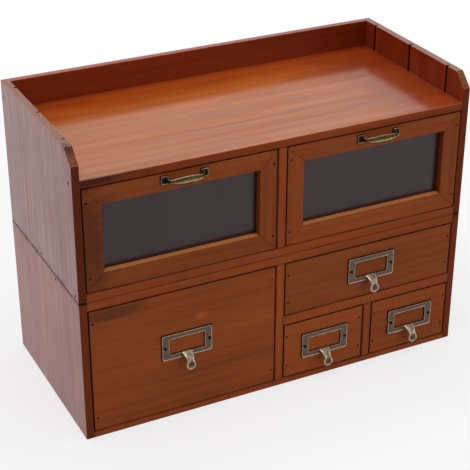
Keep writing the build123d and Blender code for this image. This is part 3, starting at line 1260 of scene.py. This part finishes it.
def rounded_loop(
    width: float, height: float, corner: float, per_corner: int = 9, per_side: int = 24
) -> np.ndarray:
    """Points round a rectangle with rounded corners, anticlockwise, as X and Z from its centre.

    Each corner is a quarter circle and each side the straight run on to the next one. Loops made with
    the same counts match point for point.

    Args:
        width: Across the loop.
        height: Up the loop.
        corner: Radius of the corners.
        per_corner: Points on a corner.
        per_side: Points within a side.

    Returns:
        The points, one to a row.
    """
    quarter = np.arange(4)[:, None] * np.pi / 2
    angle = quarter + np.linspace(0, np.pi / 2, per_corner)[None, :]
    centre = np.array([[1, 1], [-1, 1], [-1, -1], [1, -1]]) * [width / 2 - corner, height / 2 - corner]
    arcs = centre[:, None, :] + corner * np.stack([np.cos(angle), np.sin(angle)], axis=-1)
    share = (np.arange(1, per_side + 1) / (per_side + 1))[None, :, None]
    sides = arcs[:, -1:, :] * (1 - share) + np.roll(arcs, -1, axis=0)[:, :1, :] * share
    return np.concatenate([arcs, sides], axis=1).reshape(-1, 2)


def squared(count: int, power: float) -> tuple[np.ndarray, np.ndarray]:
    """A section between a circle and a square: cosine and sine raised to a power with their signs kept.

    Args:
        count: Points round the section.
        power: 1 for a circle, and less for a squarer one.

    Returns:
        The points' places across the section and through it.
    """
    angle = np.linspace(0, 2 * np.pi, count, endpoint=False)[None, :]
    cosine, sine = np.cos(angle), np.sin(angle)
    return np.sign(cosine) * np.abs(cosine) ** power, np.sign(sine) * np.abs(sine) ** power


def run_length(line: np.ndarray) -> np.ndarray:
    """How long a line is up to each of its points: the running sum of its steps."""
    return np.concatenate([[0], np.cumsum(np.linalg.norm(np.diff(line, axis=0), axis=1))])


def sideways(heading: np.ndarray) -> np.ndarray:
    """Unit directions square to a line's headings: each heading over its length, turned by a quarter."""
    heading = heading / np.linalg.norm(heading, axis=1, keepdims=True)
    return np.stack([heading[:, 1], -heading[:, 0]], axis=1)


@dataclass
class LabelPull:
    """A card frame with a finger tab below its window, cast in one. Lengths are millimetres.

    The tab's curve has two handles, given as Y in shares of how far the tab stands out and as Z from its
    root, and an end, given by its Y.
    """

    drawer: str
    plate_height: float = 31.0
    plate_thickness: float = 2.2
    plate_wall: float = 0.9
    corner: float = 2.5
    window_width: float = 42.0
    window_height: float = 19.5
    window_corner: float = 1.0
    card_space: float = 0.9
    lip_share: float = 0.72
    trough_height: float = 1.45
    bead_spread: float = 0.06
    bead_place: float = 0.06
    inner_bead: float = 0.6
    screw_spacing: float = 52.8
    pad_radius: float = 2.3
    section_points: int = 23
    tab_rows: int = 60
    tab_sides: int = 36
    tab_power: float = 0.62
    tab_taper: float = 0.8
    tab_join: int = 8
    tab_root_half: float = 6.9
    tab_neck_half: float = 3.8
    tab_tip_half: float = 5.5
    tab_thickness: float = 1.8
    tab_dish: float = 1.1
    tab_root: tuple[float, float] = (-0.8, -10.3)
    tab_leave: tuple[float, float] = (-0.64, -3.4)
    tab_turn: tuple[float, float] = (-1.06, -4.5)
    tab_end: float = -0.97
    tab_rim: float = 0.9

    def build(self, finish: CastFinish) -> None:
        """Make the pull in the place of its CAD node.

        Args:
            finish: Its finish.
        """
        low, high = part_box(f"{self.drawer}_label_pull")
        origin = np.array([(low.x + high.x) / 2, high.y, high.z]) / MM - [0, 0, self.plate_height / 2]
        width, reach, drop = (high - low) / MM
        patches = [self.card_frame(width), self.finger_tab(reach, drop - self.plate_height / 2)]
        cast_piece(self.drawer, "label_pull", patches, origin, finish)

    def fitting(self) -> Fitting:
        """The plate's outline, without the tab below it, and its window's.

        Returns:
            The plate and its window.
        """
        low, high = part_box(f"{self.drawer}_label_pull")
        foot = Vector((low.x, low.y, high.z - self.plate_height * MM))
        middle = (foot + high) / 2
        half = Vector((self.window_width, 0.0, self.window_height)) * MM / 2
        return Fitting((foot, high), (middle - half, middle + half))

    def card_frame(self, width: float) -> Patch:
        """The frame round the card.

        Its section runs from the outer loop, at share 0, to the window's loop, at share 1. The height of
        the front is the trough's plus a bead near each edge, and rises to the plate's own height in a round
        pad under each screw. Behind, a lip overhangs the card.

        Args:
            width: Across the plate.

        Returns:
            The frame.
        """
        outer = rounded_loop(width, self.plate_height, self.corner)
        inner = rounded_loop(self.window_width, self.window_height, self.window_corner)
        share = np.linspace(0, 1, self.section_points)
        beads = bump_at(share, self.bead_place, self.bead_spread)
        beads = beads + self.inner_bead * bump_at(share, 1 - self.bead_place, self.bead_spread)
        front = self.trough_height + (self.plate_thickness - self.trough_height) * beads
        shares = np.concatenate([[0, 0], share, [1, self.lip_share, self.lip_share]])
        heights = np.concatenate([[0, self.plate_wall], front, [self.card_space, self.card_space, 0]])
        relief = np.concatenate([[-1.0, -0.6], beads, [-0.8, -1.0, -1.0]])
        inward = shares[None, :, None]
        flat = outer[:, None, :] * (1 - inward) + inner[:, None, :] * inward
        from_screw = np.hypot(np.abs(flat[..., 0]) - self.screw_spacing / 2, flat[..., 1])
        on_front = (np.arange(len(shares)) > 1) & (np.arange(len(shares)) < len(shares) - 3)
        pad = np.exp(-((from_screw / self.pad_radius) ** 6)) * on_front
        height = heights + np.clip(self.plate_thickness - heights, 0, None) * pad
        points = np.stack([flat[..., 0], -height, flat[..., 1]], axis=-1)
        return Patch(points, np.where(relief > 0, relief * (1 - pad), relief), ring=True)

    def finger_tab(self, reach: float, drop: float) -> Patch:
        """The tab: a rounded strip carried along a cubic curve, out from the window's sill and down.

        Its outline is the larger, softly joined, of a stem that tapers to the neck and of a round spoon at
        the end, worked out on the length along the curve. The spoon's face is dished.

        Args:
            reach: From the drawer front to the tab's face.
            drop: From the frame's middle down to the tab's end.

        Returns:
            The tab.
        """
        out = reach - self.tab_thickness / 2
        root = np.array(self.tab_root)
        leave, turn = (
            np.array([share * out, root[1] + down]) for share, down in (self.tab_leave, self.tab_turn)
        )
        tip = np.array([self.tab_end * out, -drop])
        run = np.sin(np.linspace(0, np.pi / 2, self.tab_rows))
        along = run[:, None]
        back = 1 - along
        line = back**3 * root + 3 * back**2 * along * leave + 3 * back * along**2 * turn + along**3 * tip
        heading = back**2 * (leave - root) + 2 * back * along * (turn - leave) + along**2 * (tip - turn)
        facing = sideways(heading)
        length = run_length(line)
        spoon_place = length - (length[-1] - self.tab_tip_half)
        spoon = np.sqrt(np.clip(self.tab_tip_half**2 - spoon_place**2, 0, None))
        stem_share = np.clip(length / (length[-1] - 2 * self.tab_tip_half), 0, 1)
        stem = self.tab_root_half + (self.tab_neck_half - self.tab_root_half) * stem_share**self.tab_taper
        stem = np.where(spoon_place < 0, stem, 0)
        half = (spoon**self.tab_join + stem**self.tab_join) ** (1 / self.tab_join)
        across, through = squared(self.tab_sides, self.tab_power)
        in_spoon = bump_at(spoon_place, 0.0, 0.72 * self.tab_tip_half)
        dish = self.tab_dish * in_spoon[:, None] * (1 - across**2)
        thin = np.clip(half / self.tab_neck_half, 0, 1)[:, None] ** 0.5
        offset = through * self.tab_thickness / 2 * thin - dish
        points = np.empty((len(run), across.size, 3))
        points[..., 0] = half[:, None] * across
        points[..., 1] = line[:, :1] + facing[:, :1] * offset
        points[..., 2] = line[:, 1:] + facing[:, 1:] * offset
        rim = np.maximum(np.abs(across) ** 4, bump_at(spoon_place, self.tab_tip_half, 1.6)[:, None])
        hollow = bump_at(spoon_place, -0.08 * self.tab_tip_half, 0.5 * self.tab_tip_half)[:, None]
        face = 0.33 - 0.75 * hollow * bump_at(across, 0.0, 0.6)
        exposed = face * (1 - rim) + self.tab_rim * rim
        start = points[:1].mean(axis=1, keepdims=True) + np.zeros((1, across.size, 3))
        points = np.concatenate([start, points])
        exposed = np.concatenate([exposed[:1], exposed])
        return Patch(points, np.broadcast_to(exposed, points.shape[:2]), warmth=0.55)


@dataclass
class BowHandle:
    """A bow handle: a leaf-shaped band arched between two screw plates. Lengths are millimetres."""

    drawer: str
    plate_width: float = 8.5
    plate_thickness: float = 1.6
    plate_wall: float = 0.8
    plate_corner: float = 1.2
    ring_depth: float = 0.55
    rim_drop: float = 0.5
    band_rows: int = 73
    band_sides: int = 40
    band_power: float = 0.7
    band_end_share: float = 0.75
    band_half_middle: float = 4.1
    band_half_neck: float = 1.3
    band_half_root: float = 3.4
    band_thickness: float = 2.2
    band_tilt: float = math.radians(34)
    band_start: float = 0.6
    band_overlap: float = 1.6
    channel_depth: float = 0.9
    valley: float = 0.35
    root_reach: float = 0.11
    leg_power: float = 0.75
    bar_power: float = 0.4
    leg_share: float = 0.1

    def build(self, finish: CastFinish) -> None:
        """Make the handle in the place of its CAD node.

        Args:
            finish: Its finish.
        """
        low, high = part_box(f"{self.drawer}_bow_handle")
        origin = np.array([(low.x + high.x) / 2, high.y, (low.z + high.z) / 2]) / MM
        size = np.array(high - low) / MM
        span = size[0] - self.plate_width
        patches = [self.plate(size[2], side * span / 2) for side in (-1, 1)]
        patches.append(self.band(span - self.plate_width, size[1]))
        cast_piece(self.drawer, "bow_handle", patches, origin, finish)

    def fittings(self) -> tuple[Fitting, ...]:
        """The outlines of both screw plates, at the two ends of the handle.

        Returns:
            The plates.
        """
        low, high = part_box(f"{self.drawer}_bow_handle")
        across = Vector(((high - low).x - self.plate_width * MM, 0.0, 0.0))
        return Fitting((low, high - across)), Fitting((low + across, high))

    def plate(self, plate_height: float, middle: float) -> Patch:
        """A screw plate: loops nested about its centre, with a sunk ring between the pad and the rim.

        Args:
            plate_height: Up the plate.
            middle: Its centre along X.

        Returns:
            The plate.
        """
        loop = rounded_loop(self.plate_width, plate_height, self.plate_corner, 7, 5)
        share = np.linspace(0, 0.97, 22)
        front = self.plate_thickness - self.ring_depth * bump_at(share, 0.68, 0.13)
        front = front - self.rim_drop * bump_at(share, 1.02, 0.05)
        shares = np.concatenate([share, [1, 1, 0]])
        heights = np.concatenate([front, [self.plate_wall, 0, 0]])
        bare = 0.8 * bump_at(share, 0.9, 0.09) - 0.6 * bump_at(share, 0.4, 0.25)
        relief = np.concatenate([bare, [-0.4, -1.0, -1.0]])
        flat = loop[None, :, :] * shares[:, None, None]
        height = np.broadcast_to(heights[:, None], flat.shape[:2])
        points = np.stack([flat[..., 0] + middle, -height, flat[..., 1]], axis=-1)
        return Patch(points, np.broadcast_to(relief[:, None], height.shape), warmth=0.15)

    def band(self, clear_span: float, reach: float) -> Patch:
        """The band: a rounded strip on two short legs, widest in the middle like a leaf.

        It is carried along half a superellipse: cosine and sine of an angle, each raised to its own power,
        so that the legs are steep and the bar between them is nearly straight. The strip's broad side is
        tilted up, and a shallow channel runs down its face between two ridges.

        Args:
            clear_span: Between the two plates.
            reach: From the drawer front to the band's face.

        Returns:
            The band.
        """
        half_chord = clear_span / 2 + self.band_overlap
        lift = self.band_half_middle * math.sin(self.band_tilt)
        rise = reach - self.band_thickness / 2 - lift - self.band_start
        turn = np.linspace(0, np.pi, self.band_rows)
        cosine = np.cos(turn)
        x = -half_chord * np.sign(cosine) * np.abs(cosine) ** self.leg_power
        y = -self.band_start - rise * np.clip(np.sin(turn), 0, 1) ** self.bar_power
        line = np.stack([x, y], axis=1)
        length = run_length(line)
        share = length / length[-1]
        outward = sideways(np.gradient(line, length, axis=0))
        leaf = np.sin(np.pi * np.clip((share - self.leg_share) / (1 - 2 * self.leg_share), 0, 1)) ** 0.7
        root = bump_at(share, 0.0, self.root_reach) + bump_at(share, 1.0, self.root_reach)
        half = self.band_half_neck + (self.band_half_middle - self.band_half_neck) * leaf
        half = half + (self.band_half_root - self.band_half_neck) * root**2
        across, through = squared(self.band_sides, self.band_power)
        tilt = self.band_tilt * leaf[:, None]
        broad = half[:, None] * across
        channel = self.channel_depth * leaf[:, None] * bump_at(across, self.valley, 0.4) * (through > 0)
        thickness = self.band_end_share + (1 - self.band_end_share) * leaf[:, None]
        deep = through * (self.band_thickness / 2) * thickness - channel
        out = deep * np.cos(tilt) - broad * np.sin(tilt)
        points = np.empty((len(share), across.size, 3))
        points[..., 0] = line[:, :1] + outward[:, :1] * out
        points[..., 1] = line[:, 1:] + outward[:, 1:] * out
        points[..., 2] = broad * np.cos(tilt) + deep * np.sin(tilt)
        top_edge = bump_at(across, 0.95, 0.16)
        face = np.where(through > -0.2, 0.08 + 0.9 * top_edge + 0.66 * bump_at(across, -0.45, 0.24), 0.1)
        exposed = face - 1.3 * root[:, None] * (1 - 0.75 * top_edge)
        ends = points[[0, -1]].mean(axis=1, keepdims=True) + np.zeros((2, across.size, 3))
        points = np.concatenate([ends[:1], points, ends[1:]])
        exposed = np.concatenate([exposed[:1], exposed, exposed[-1:]])
        return Patch(points, exposed, warmth=0.85)


# Sub-assemblies

def pin_ends(board: str, pins: str, axis: int) -> tuple[Place, ...]:
    """Where pins end at the faces of a board: the points of their own shapes that lie within its box there.

    Points belong to different pins where, along some axis, a step wider than the gap divides them.

    Args:
        board: The board's node.
        pins: The pins' node.
        axis: The way that the pins run.

    Returns:
        The centre of each end, in metres.
    """
    low, high = (np.array(corner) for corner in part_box(board))
    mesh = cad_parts[pins].data
    points = np.empty(len(mesh.vertices) * 3)
    mesh.vertices.foreach_get("co", points)
    points = points.reshape(-1, 3)
    from_face = np.minimum(points[:, axis] - low[axis], high[axis] - points[:, axis])
    ends = points[(from_face < MM) & np.all((points > low - MM) & (points < high + MM), axis=1)]
    labels = np.zeros(ends.shape, int)
    for side in range(3 if len(ends) else 0):
        order = np.argsort(ends[:, side])
        labels[order, side] = np.concatenate([[0], np.cumsum(np.diff(ends[order, side]) > PIN_GAP)])
    groups = [ends[np.all(labels == label, axis=1)] for label in np.unique(labels, axis=0)]
    return tuple(tuple(float(part) for part in group.mean(axis=0)) for group in groups)


@dataclass
class Case:
    """The two stacked modules: sides, boards, dividers and backs."""

    standing: tuple[str, ...] = (
        "lower_left_side",
        "lower_right_side",
        "upper_left_side",
        "upper_right_side",
        "lower_divider",
        "upper_divider",
        "small_divider",
    )
    lying: tuple[str, ...] = (
        "lower_bottom_board",
        "lower_top_board",
        "upper_bottom_board",
        "tray_board",
        "lower_shelf",
        "lower_back_panel",
        "upper_back_panel",
    )
    polished: dict[str, float] = field(
        default_factory=lambda: {
            "lower_left_side": 0.63,
            "lower_right_side": 0.63,
            "upper_left_side": 0.73,
            "upper_right_side": 0.73,
            "tray_board": 0.74,
            "upper_back_panel": 0.7,
            "lower_back_panel": 0.7,
        }
    )
    # Broad and edge shades set here are painted shade, for how the light falls on the gallery, the sides
    # and their front edges.
    broad_shades: dict[str, float] = field(
        default_factory=lambda: {
            "upper_back_panel": 0.68,
            "upper_left_side": 0.79,
            "upper_right_side": 0.82,
        }
    )
    edge_shades: dict[str, float] = field(
        default_factory=lambda: {
            "upper_left_side": 0.44,
            "lower_left_side": 0.66,
            "upper_right_side": 0.5,
            "lower_right_side": 0.72,
            "tray_board": 0.78,
        }
    )
    side_front_polish: float = 0.03
    cut_corner: float = 16.0
    groove_first: float = 35.0
    groove_pitch: float = 75.5
    groove_count: int = 3
    groove_reach: float = 2.1
    tray_worn: float = 0.85
    # Painted shadow along the tray's front edge at its left end, and painted shade on its face at the right
    # end.
    tray_front_shadow: ColourPatch = ColourPatch((0.09, 0.004, 0.02), stain(62, 20, 6), 0.85)
    tray_end_shade: ColourPatch = ColourPatch((0.11, 0.3, 0.02), stain(112, 38, 8), 0.55)
    side_front: ColourPatch = ColourPatch((0.1, 0.004, 1.0), stain(126, 54, 20), 0.9)

    def grooves(self, node: str) -> tuple[Place, ...]:
        """Where a side panel is grooved inside, as X, Y and the reach of the darkening, in metres.

        Args:
            node: The side panel.

        Returns:
            Its grooves.
        """
        low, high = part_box(node)
        inner_x = high.x if "left" in node else low.x
        places = low.y + (self.groove_first + self.groove_pitch * np.arange(self.groove_count)) * MM
        return tuple((inner_x, float(y), self.groove_reach * MM) for y in places)

    def chipped_corner(self) -> tuple[float, float]:
        """The Y and Z of the upper arris of the left side's cut corner, in metres."""
        low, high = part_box("upper_left_side")
        return low.y + self.cut_corner * MM, high.z

    def colour_patches(self, node: str) -> tuple[ColourPatch, ...]:
        """Where a board's colour is darker or browner than its stain.

        On the tray that is painted shadow along the front edge at the left end and painted shade on the
        face at the right end, and on a side panel a browner stain along the front edge.

        Args:
            node: The board.

        Returns:
            Its marks.
        """
        low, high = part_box(node)
        middle = (low + high) / 2
        if node == "tray_board":
            return self.tray_front_shadow.at((low.x, low.y, high.z)), self.tray_end_shade.at(high)
        if node.endswith("side"):
            return (self.side_front.at((middle.x, low.y, middle.z)),)
        return ()

    def wood(self, node: str) -> WoodFinish:
        """The finish of a board: the tray's, that of the sides and backs, or that of the rest.

        Args:
            node: The board.

        Returns:
            The finish.
        """
        if node == "tray_board":
            return TRAY_WOOD
        return SIDE_WOOD if node.endswith("side") or "back" in node else CASE_WOOD

    def stock(self, node: str, along: Along) -> Stock:
        """What one board is like.

        Args:
            node: The board.
            along: The way its grain runs.

        Returns:
            Its stock.
        """
        is_side = node.endswith("side")
        is_tray = node == "tray_board"
        inward = (1.0 if "left" in node else -1.0, 0.0, 0.0)
        return Stock(
            node,
            along,
            Edging.RUBBED if node in self.polished else Edging.SOILED,
            polish=self.polished.get(node, Stock.polish),
            front_polish=self.side_front_polish if is_side else Stock.front_polish,
            dull_way=inward if is_side else Stock.dull_way,
            broad_shade=self.broad_shades.get(node, Stock.broad_shade),
            edge_shade=self.edge_shades.get(node, Stock.edge_shade),
            worn=self.tray_worn if is_tray else Stock.worn,
            grooves=self.grooves(node) if is_side else (),
            pins=pin_ends(node, "case_pins", 0),
            seam=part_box("upper_left_side")[0].z if is_side or "back" in node else None,
            cut_corner=self.chipped_corner() if node == "upper_left_side" else None,
            colour_patches=self.colour_patches(node),
        )

    def build(self) -> None:
        """Dress every board with its grain the way it stands or lies, then the pins and dowels."""
        for along, nodes in ((Along.Z, self.standing), (Along.X, self.lying)):
            for node in nodes:
                dress(node, self.wood(node).material(self.stock(node, along)))
        dress("module_dowels", DOWEL_WOOD.material(Stock("module_dowels", Along.Z, Edging.PLAIN)))
        dress("case_pins", BLACK_STEEL.material("case_pins_finish"))


@dataclass
class Drawer:
    """What every drawer has: a box of two sides, a back and a bottom, and its pins and screws."""

    name: str
    # front_shade is painted shade for how the light falls on the front.
    front_shade: float

    def build(self) -> None:
        """Dress the box, then make the front."""
        box = {"left_side": Along.Y, "right_side": Along.Y, "back": Along.X, "bottom": Along.X}
        for part, along in box.items():
            node = f"{self.name}_drawer_{part}"
            dress(node, DRAWER_WOOD.material(Stock(node, along, Edging.PLAIN)))
        dress(f"{self.name}_drawer_fixings", BLACK_STEEL.material(f"{self.name}_fixings_finish"))
        self.build_front()

    def build_front(self) -> None:
        """Dress and fit out the front."""
        raise NotImplementedError


@dataclass
class PlainDrawer(Drawer):
    """A drawer with a wooden front and a label pull; the large one has a knot's flare and a streak."""

    flare_from_pull: Place = (17.0, 0.0, 29.0)
    flare: ColourPatch = ColourPatch((0.013, 0.05, 0.007), stain(172, 84, 36), 0.7)
    streak_from_pull: Place = (-88.0, 0.0, 60.0)
    streak: ColourPatch = ColourPatch((0.066, 0.05, 0.015), stain(82, 42, 20), 0.75)

    def marks(self, plate: Box) -> tuple[ColourPatch, ...]:
        """The large front's marks, placed from the middle of its pull's plate; other fronts have none.

        Args:
            plate: The box of its pull's plate.

        Returns:
            The marks.
        """
        if self.name != "large":
            return ()
        middle = (plate[0] + plate[1]) / 2
        pairs = ((self.flare_from_pull, self.flare), (self.streak_from_pull, self.streak))
        return tuple(mark.at(middle + Vector(away) * MM) for away, mark in pairs)

    def build_front(self) -> None:
        """Dress the front and cast its pull."""
        node = f"{self.name}_drawer_front"
        pull = LabelPull(self.name)
        fitting = pull.fitting()
        stock = Stock(
            node,
            Along.X,
            broad_shade=self.front_shade,
            housed=True,
            fittings=(fitting,),
            pins=pin_ends(node, f"{self.name}_drawer_fixings", 1),
            colour_patches=self.marks(fitting.outline),
        )
        dress(node, FRONT_WOOD.material(stock))
        pull.build(AGED_PEWTER)


@dataclass
class GlazedDrawer(Drawer):
    """A drawer with a glazed frame in front, whose ledge below the pane has a painted highlight, and a bow
    handle.
    """

    ledge_highlight: float = 0.75
    dark_stile: ColourPatch = ColourPatch((0.046, 0.05, 0.1), stain(88, 40, 14), 0.9)

    def marks(self) -> tuple[ColourPatch, ...]:
        """The upper left drawer's darker left stile; the other frame has no mark.

        Returns:
            The marks.
        """
        if self.name != "upper_left":
            return ()
        low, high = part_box(f"{self.name}_glazed_frame")
        return (self.dark_stile.at((low.x, low.y, (low.z + high.z) / 2)),)

    def build_front(self) -> None:
        """Dress the frame and the pane, and cast the handle."""
        node = f"{self.name}_glazed_frame"
        handle = BowHandle(self.name)
        stock = Stock(
            node,
            Along.X,
            Edging.PLAIN,
            broad_shade=self.front_shade,
            ledge_highlight=self.ledge_highlight,
            mitred=True,
            housed=True,
            fittings=handle.fittings(),
            pins=pin_ends(node, f"{self.name}_drawer_fixings", 1),
            colour_patches=self.marks(),
        )
        dress(node, FRONT_WOOD.material(stock))
        pane = f"{self.name}_glass_pane"
        dress(pane, SMOKED_PANE.material(f"{pane}_finish"))
        handle.build(AGED_BRASS)


# Studio

@dataclass(frozen=True)
class Viewpoint:
    """Where the camera stands, in metres and degrees."""

    place: Place = (-0.6221, -1.2337, 0.8779)
    yaw: float = 26.671
    pitch: float = 27.958
    roll: float = 0.121
    lens: float = 102.89
    sensor: float = 36.0

    def build(self) -> None:
        """Set up the camera: level directions from the yaw and pitch, then turned by the roll."""
        yaw, pitch, roll = (math.radians(angle) for angle in (self.yaw, self.pitch, self.roll))
        ahead = Vector((math.sin(yaw), math.cos(yaw), 0.0))
        forward = ahead * math.cos(pitch) - Vector((0.0, 0.0, math.sin(pitch)))
        level = Vector((math.cos(yaw), -math.sin(yaw), 0.0))
        upright = level.cross(forward)
        right = level * math.cos(roll) + upright * math.sin(roll)
        up = upright * math.cos(roll) - level * math.sin(roll)
        data = bpy.data.cameras.new("camera")
        data.sensor_width = self.sensor
        data.lens = self.lens
        camera = bpy.data.objects.new("camera", data)
        turn = Matrix((right, up, -forward)).transposed().to_4x4()
        camera.matrix_world = Matrix.Translation(self.place) @ turn
        bpy.context.scene.collection.objects.link(camera)
        bpy.context.scene.camera = camera


@dataclass(frozen=True)
class Softbox:
    """A square lamp: its place and aim in metres, its size and its power in watts."""

    name: str
    place: Place
    aim: Place
    size: float
    power: float

    def build(self) -> None:
        """Hang the lamp."""
        data = bpy.data.lights.new(self.name, "AREA")
        data.size = self.size
        data.energy = self.power
        lamp = bpy.data.objects.new(self.name, data)
        lamp.location = self.place
        lamp.rotation_euler = (Vector(self.aim) - Vector(self.place)).to_track_quat("-Z", "Y").to_euler()
        bpy.context.scene.collection.objects.link(lamp)


@dataclass(frozen=True)
class Studio:
    """A pale floor, a white surround and soft lamps."""

    lamps: tuple[Softbox, ...] = (
        Softbox("overhead", (0.0, 0.05, 1.9), (0.0, 0.0, 0.3), 1.5, 26.0),
        Softbox("front_fill", (1.2, -2.0, 0.5), (0.0, 0.0, 0.1), 1.4, 14.0),
        Softbox("left_fill", (-2.0, 0.2, 1.0), (0.0, 0.0, 0.15), 1.4, 4.5),
    )
    surround_strength: float = 0.3
    floor_colour: Colour = (0.86, 0.86, 0.87)
    floor_half: float = 6.0
    floor_roughness: float = 0.9
    near_white: float = 0.7
    fade_start: float = 0.3
    fade_end: float = 1.1

    def build(self) -> None:
        """Hang the lamps, light the surround and lay the floor."""
        bpy.context.scene.view_settings.view_transform = "Standard"
        for lamp in self.lamps:
            lamp.build()
        self.build_surround()
        self.build_floor()

    def seen(self, wiring: Wiring) -> Socket:
        """1 for rays from the camera, in mirrors and through glass, and 0 for light on things.

        Args:
            wiring: The wiring of the floor or the surround.

        Returns:
            The share.
        """
        path = wiring.add("ShaderNodeLightPath").outputs
        mirrored = wiring.math("MAXIMUM", path["Is Glossy Ray"], path["Is Transmission Ray"])
        return wiring.math("MAXIMUM", path["Is Camera Ray"], mirrored)

    def build_surround(self) -> None:
        """White where it is seen, and a plain level of light on everything."""
        world = bpy.data.worlds.new("surround")
        world.use_nodes = True
        bpy.context.scene.world = world
        wiring = Wiring(world.node_tree)
        background = world.node_tree.nodes["Background"]
        strength = wiring.step(self.seen(wiring), 0.0, 1.0, self.surround_strength, 1.0)
        wiring.fill(background, {"Color": (1.0, 1.0, 1.0), "Strength": strength})

    def build_floor(self) -> None:
        """A matt floor that fades to white, where it is seen, away from the object's shadow."""
        corners = np.array([[-1, -1, 0], [1, -1, 0], [1, 1, 0], [-1, 1, 0]]) * self.floor_half
        mesh = bpy.data.meshes.new("floor")
        mesh.from_pydata(corners.tolist(), [], [(0, 1, 2, 3)])
        floor = bpy.data.objects.new("floor", mesh)
        bpy.context.scene.collection.objects.link(floor)
        material, wiring, matt = blank_material("floor_paint")
        mesh.materials.append(material)
        away = wiring.length(wiring.object_place())
        fade = wiring.step(away, self.fade_start, self.fade_end, self.near_white, 1.0)
        paint = {
            "Base Color": self.floor_colour,
            "Roughness": self.floor_roughness,
            "Specular IOR Level": 0.0,
        }
        wiring.fill(matt, paint)
        white = wiring.add("ShaderNodeEmission")
        blend = wiring.add("ShaderNodeMixShader")
        share = wiring.times(fade, self.seen(wiring))
        wiring.fill(blend, {0: share, 1: matt.outputs[0], 2: white.outputs[0]})
        wiring.feed(material.node_tree.nodes["Material Output"].inputs["Surface"], blend.outputs[0])


def main() -> None:
    """Set up the studio, then dress and fit out the organizer from the case to the last drawer."""
    logging.basicConfig(level=logging.INFO, format="%(message)s")
    Viewpoint().build()
    Studio().build()
    Case().build()
    # Front shades are painted shade, darker on the upper fronts for how the light falls.
    for name, shade in (("upper_left", 0.9), ("upper_right", 0.92)):
        GlazedDrawer(name, shade).build()
    for name, shade in (("large", 0.98), ("wide", 0.93), ("small_left", 0.96), ("small_right", 0.93)):
        PlainDrawer(name, shade).build()


if __name__ == "__main__":
    main()
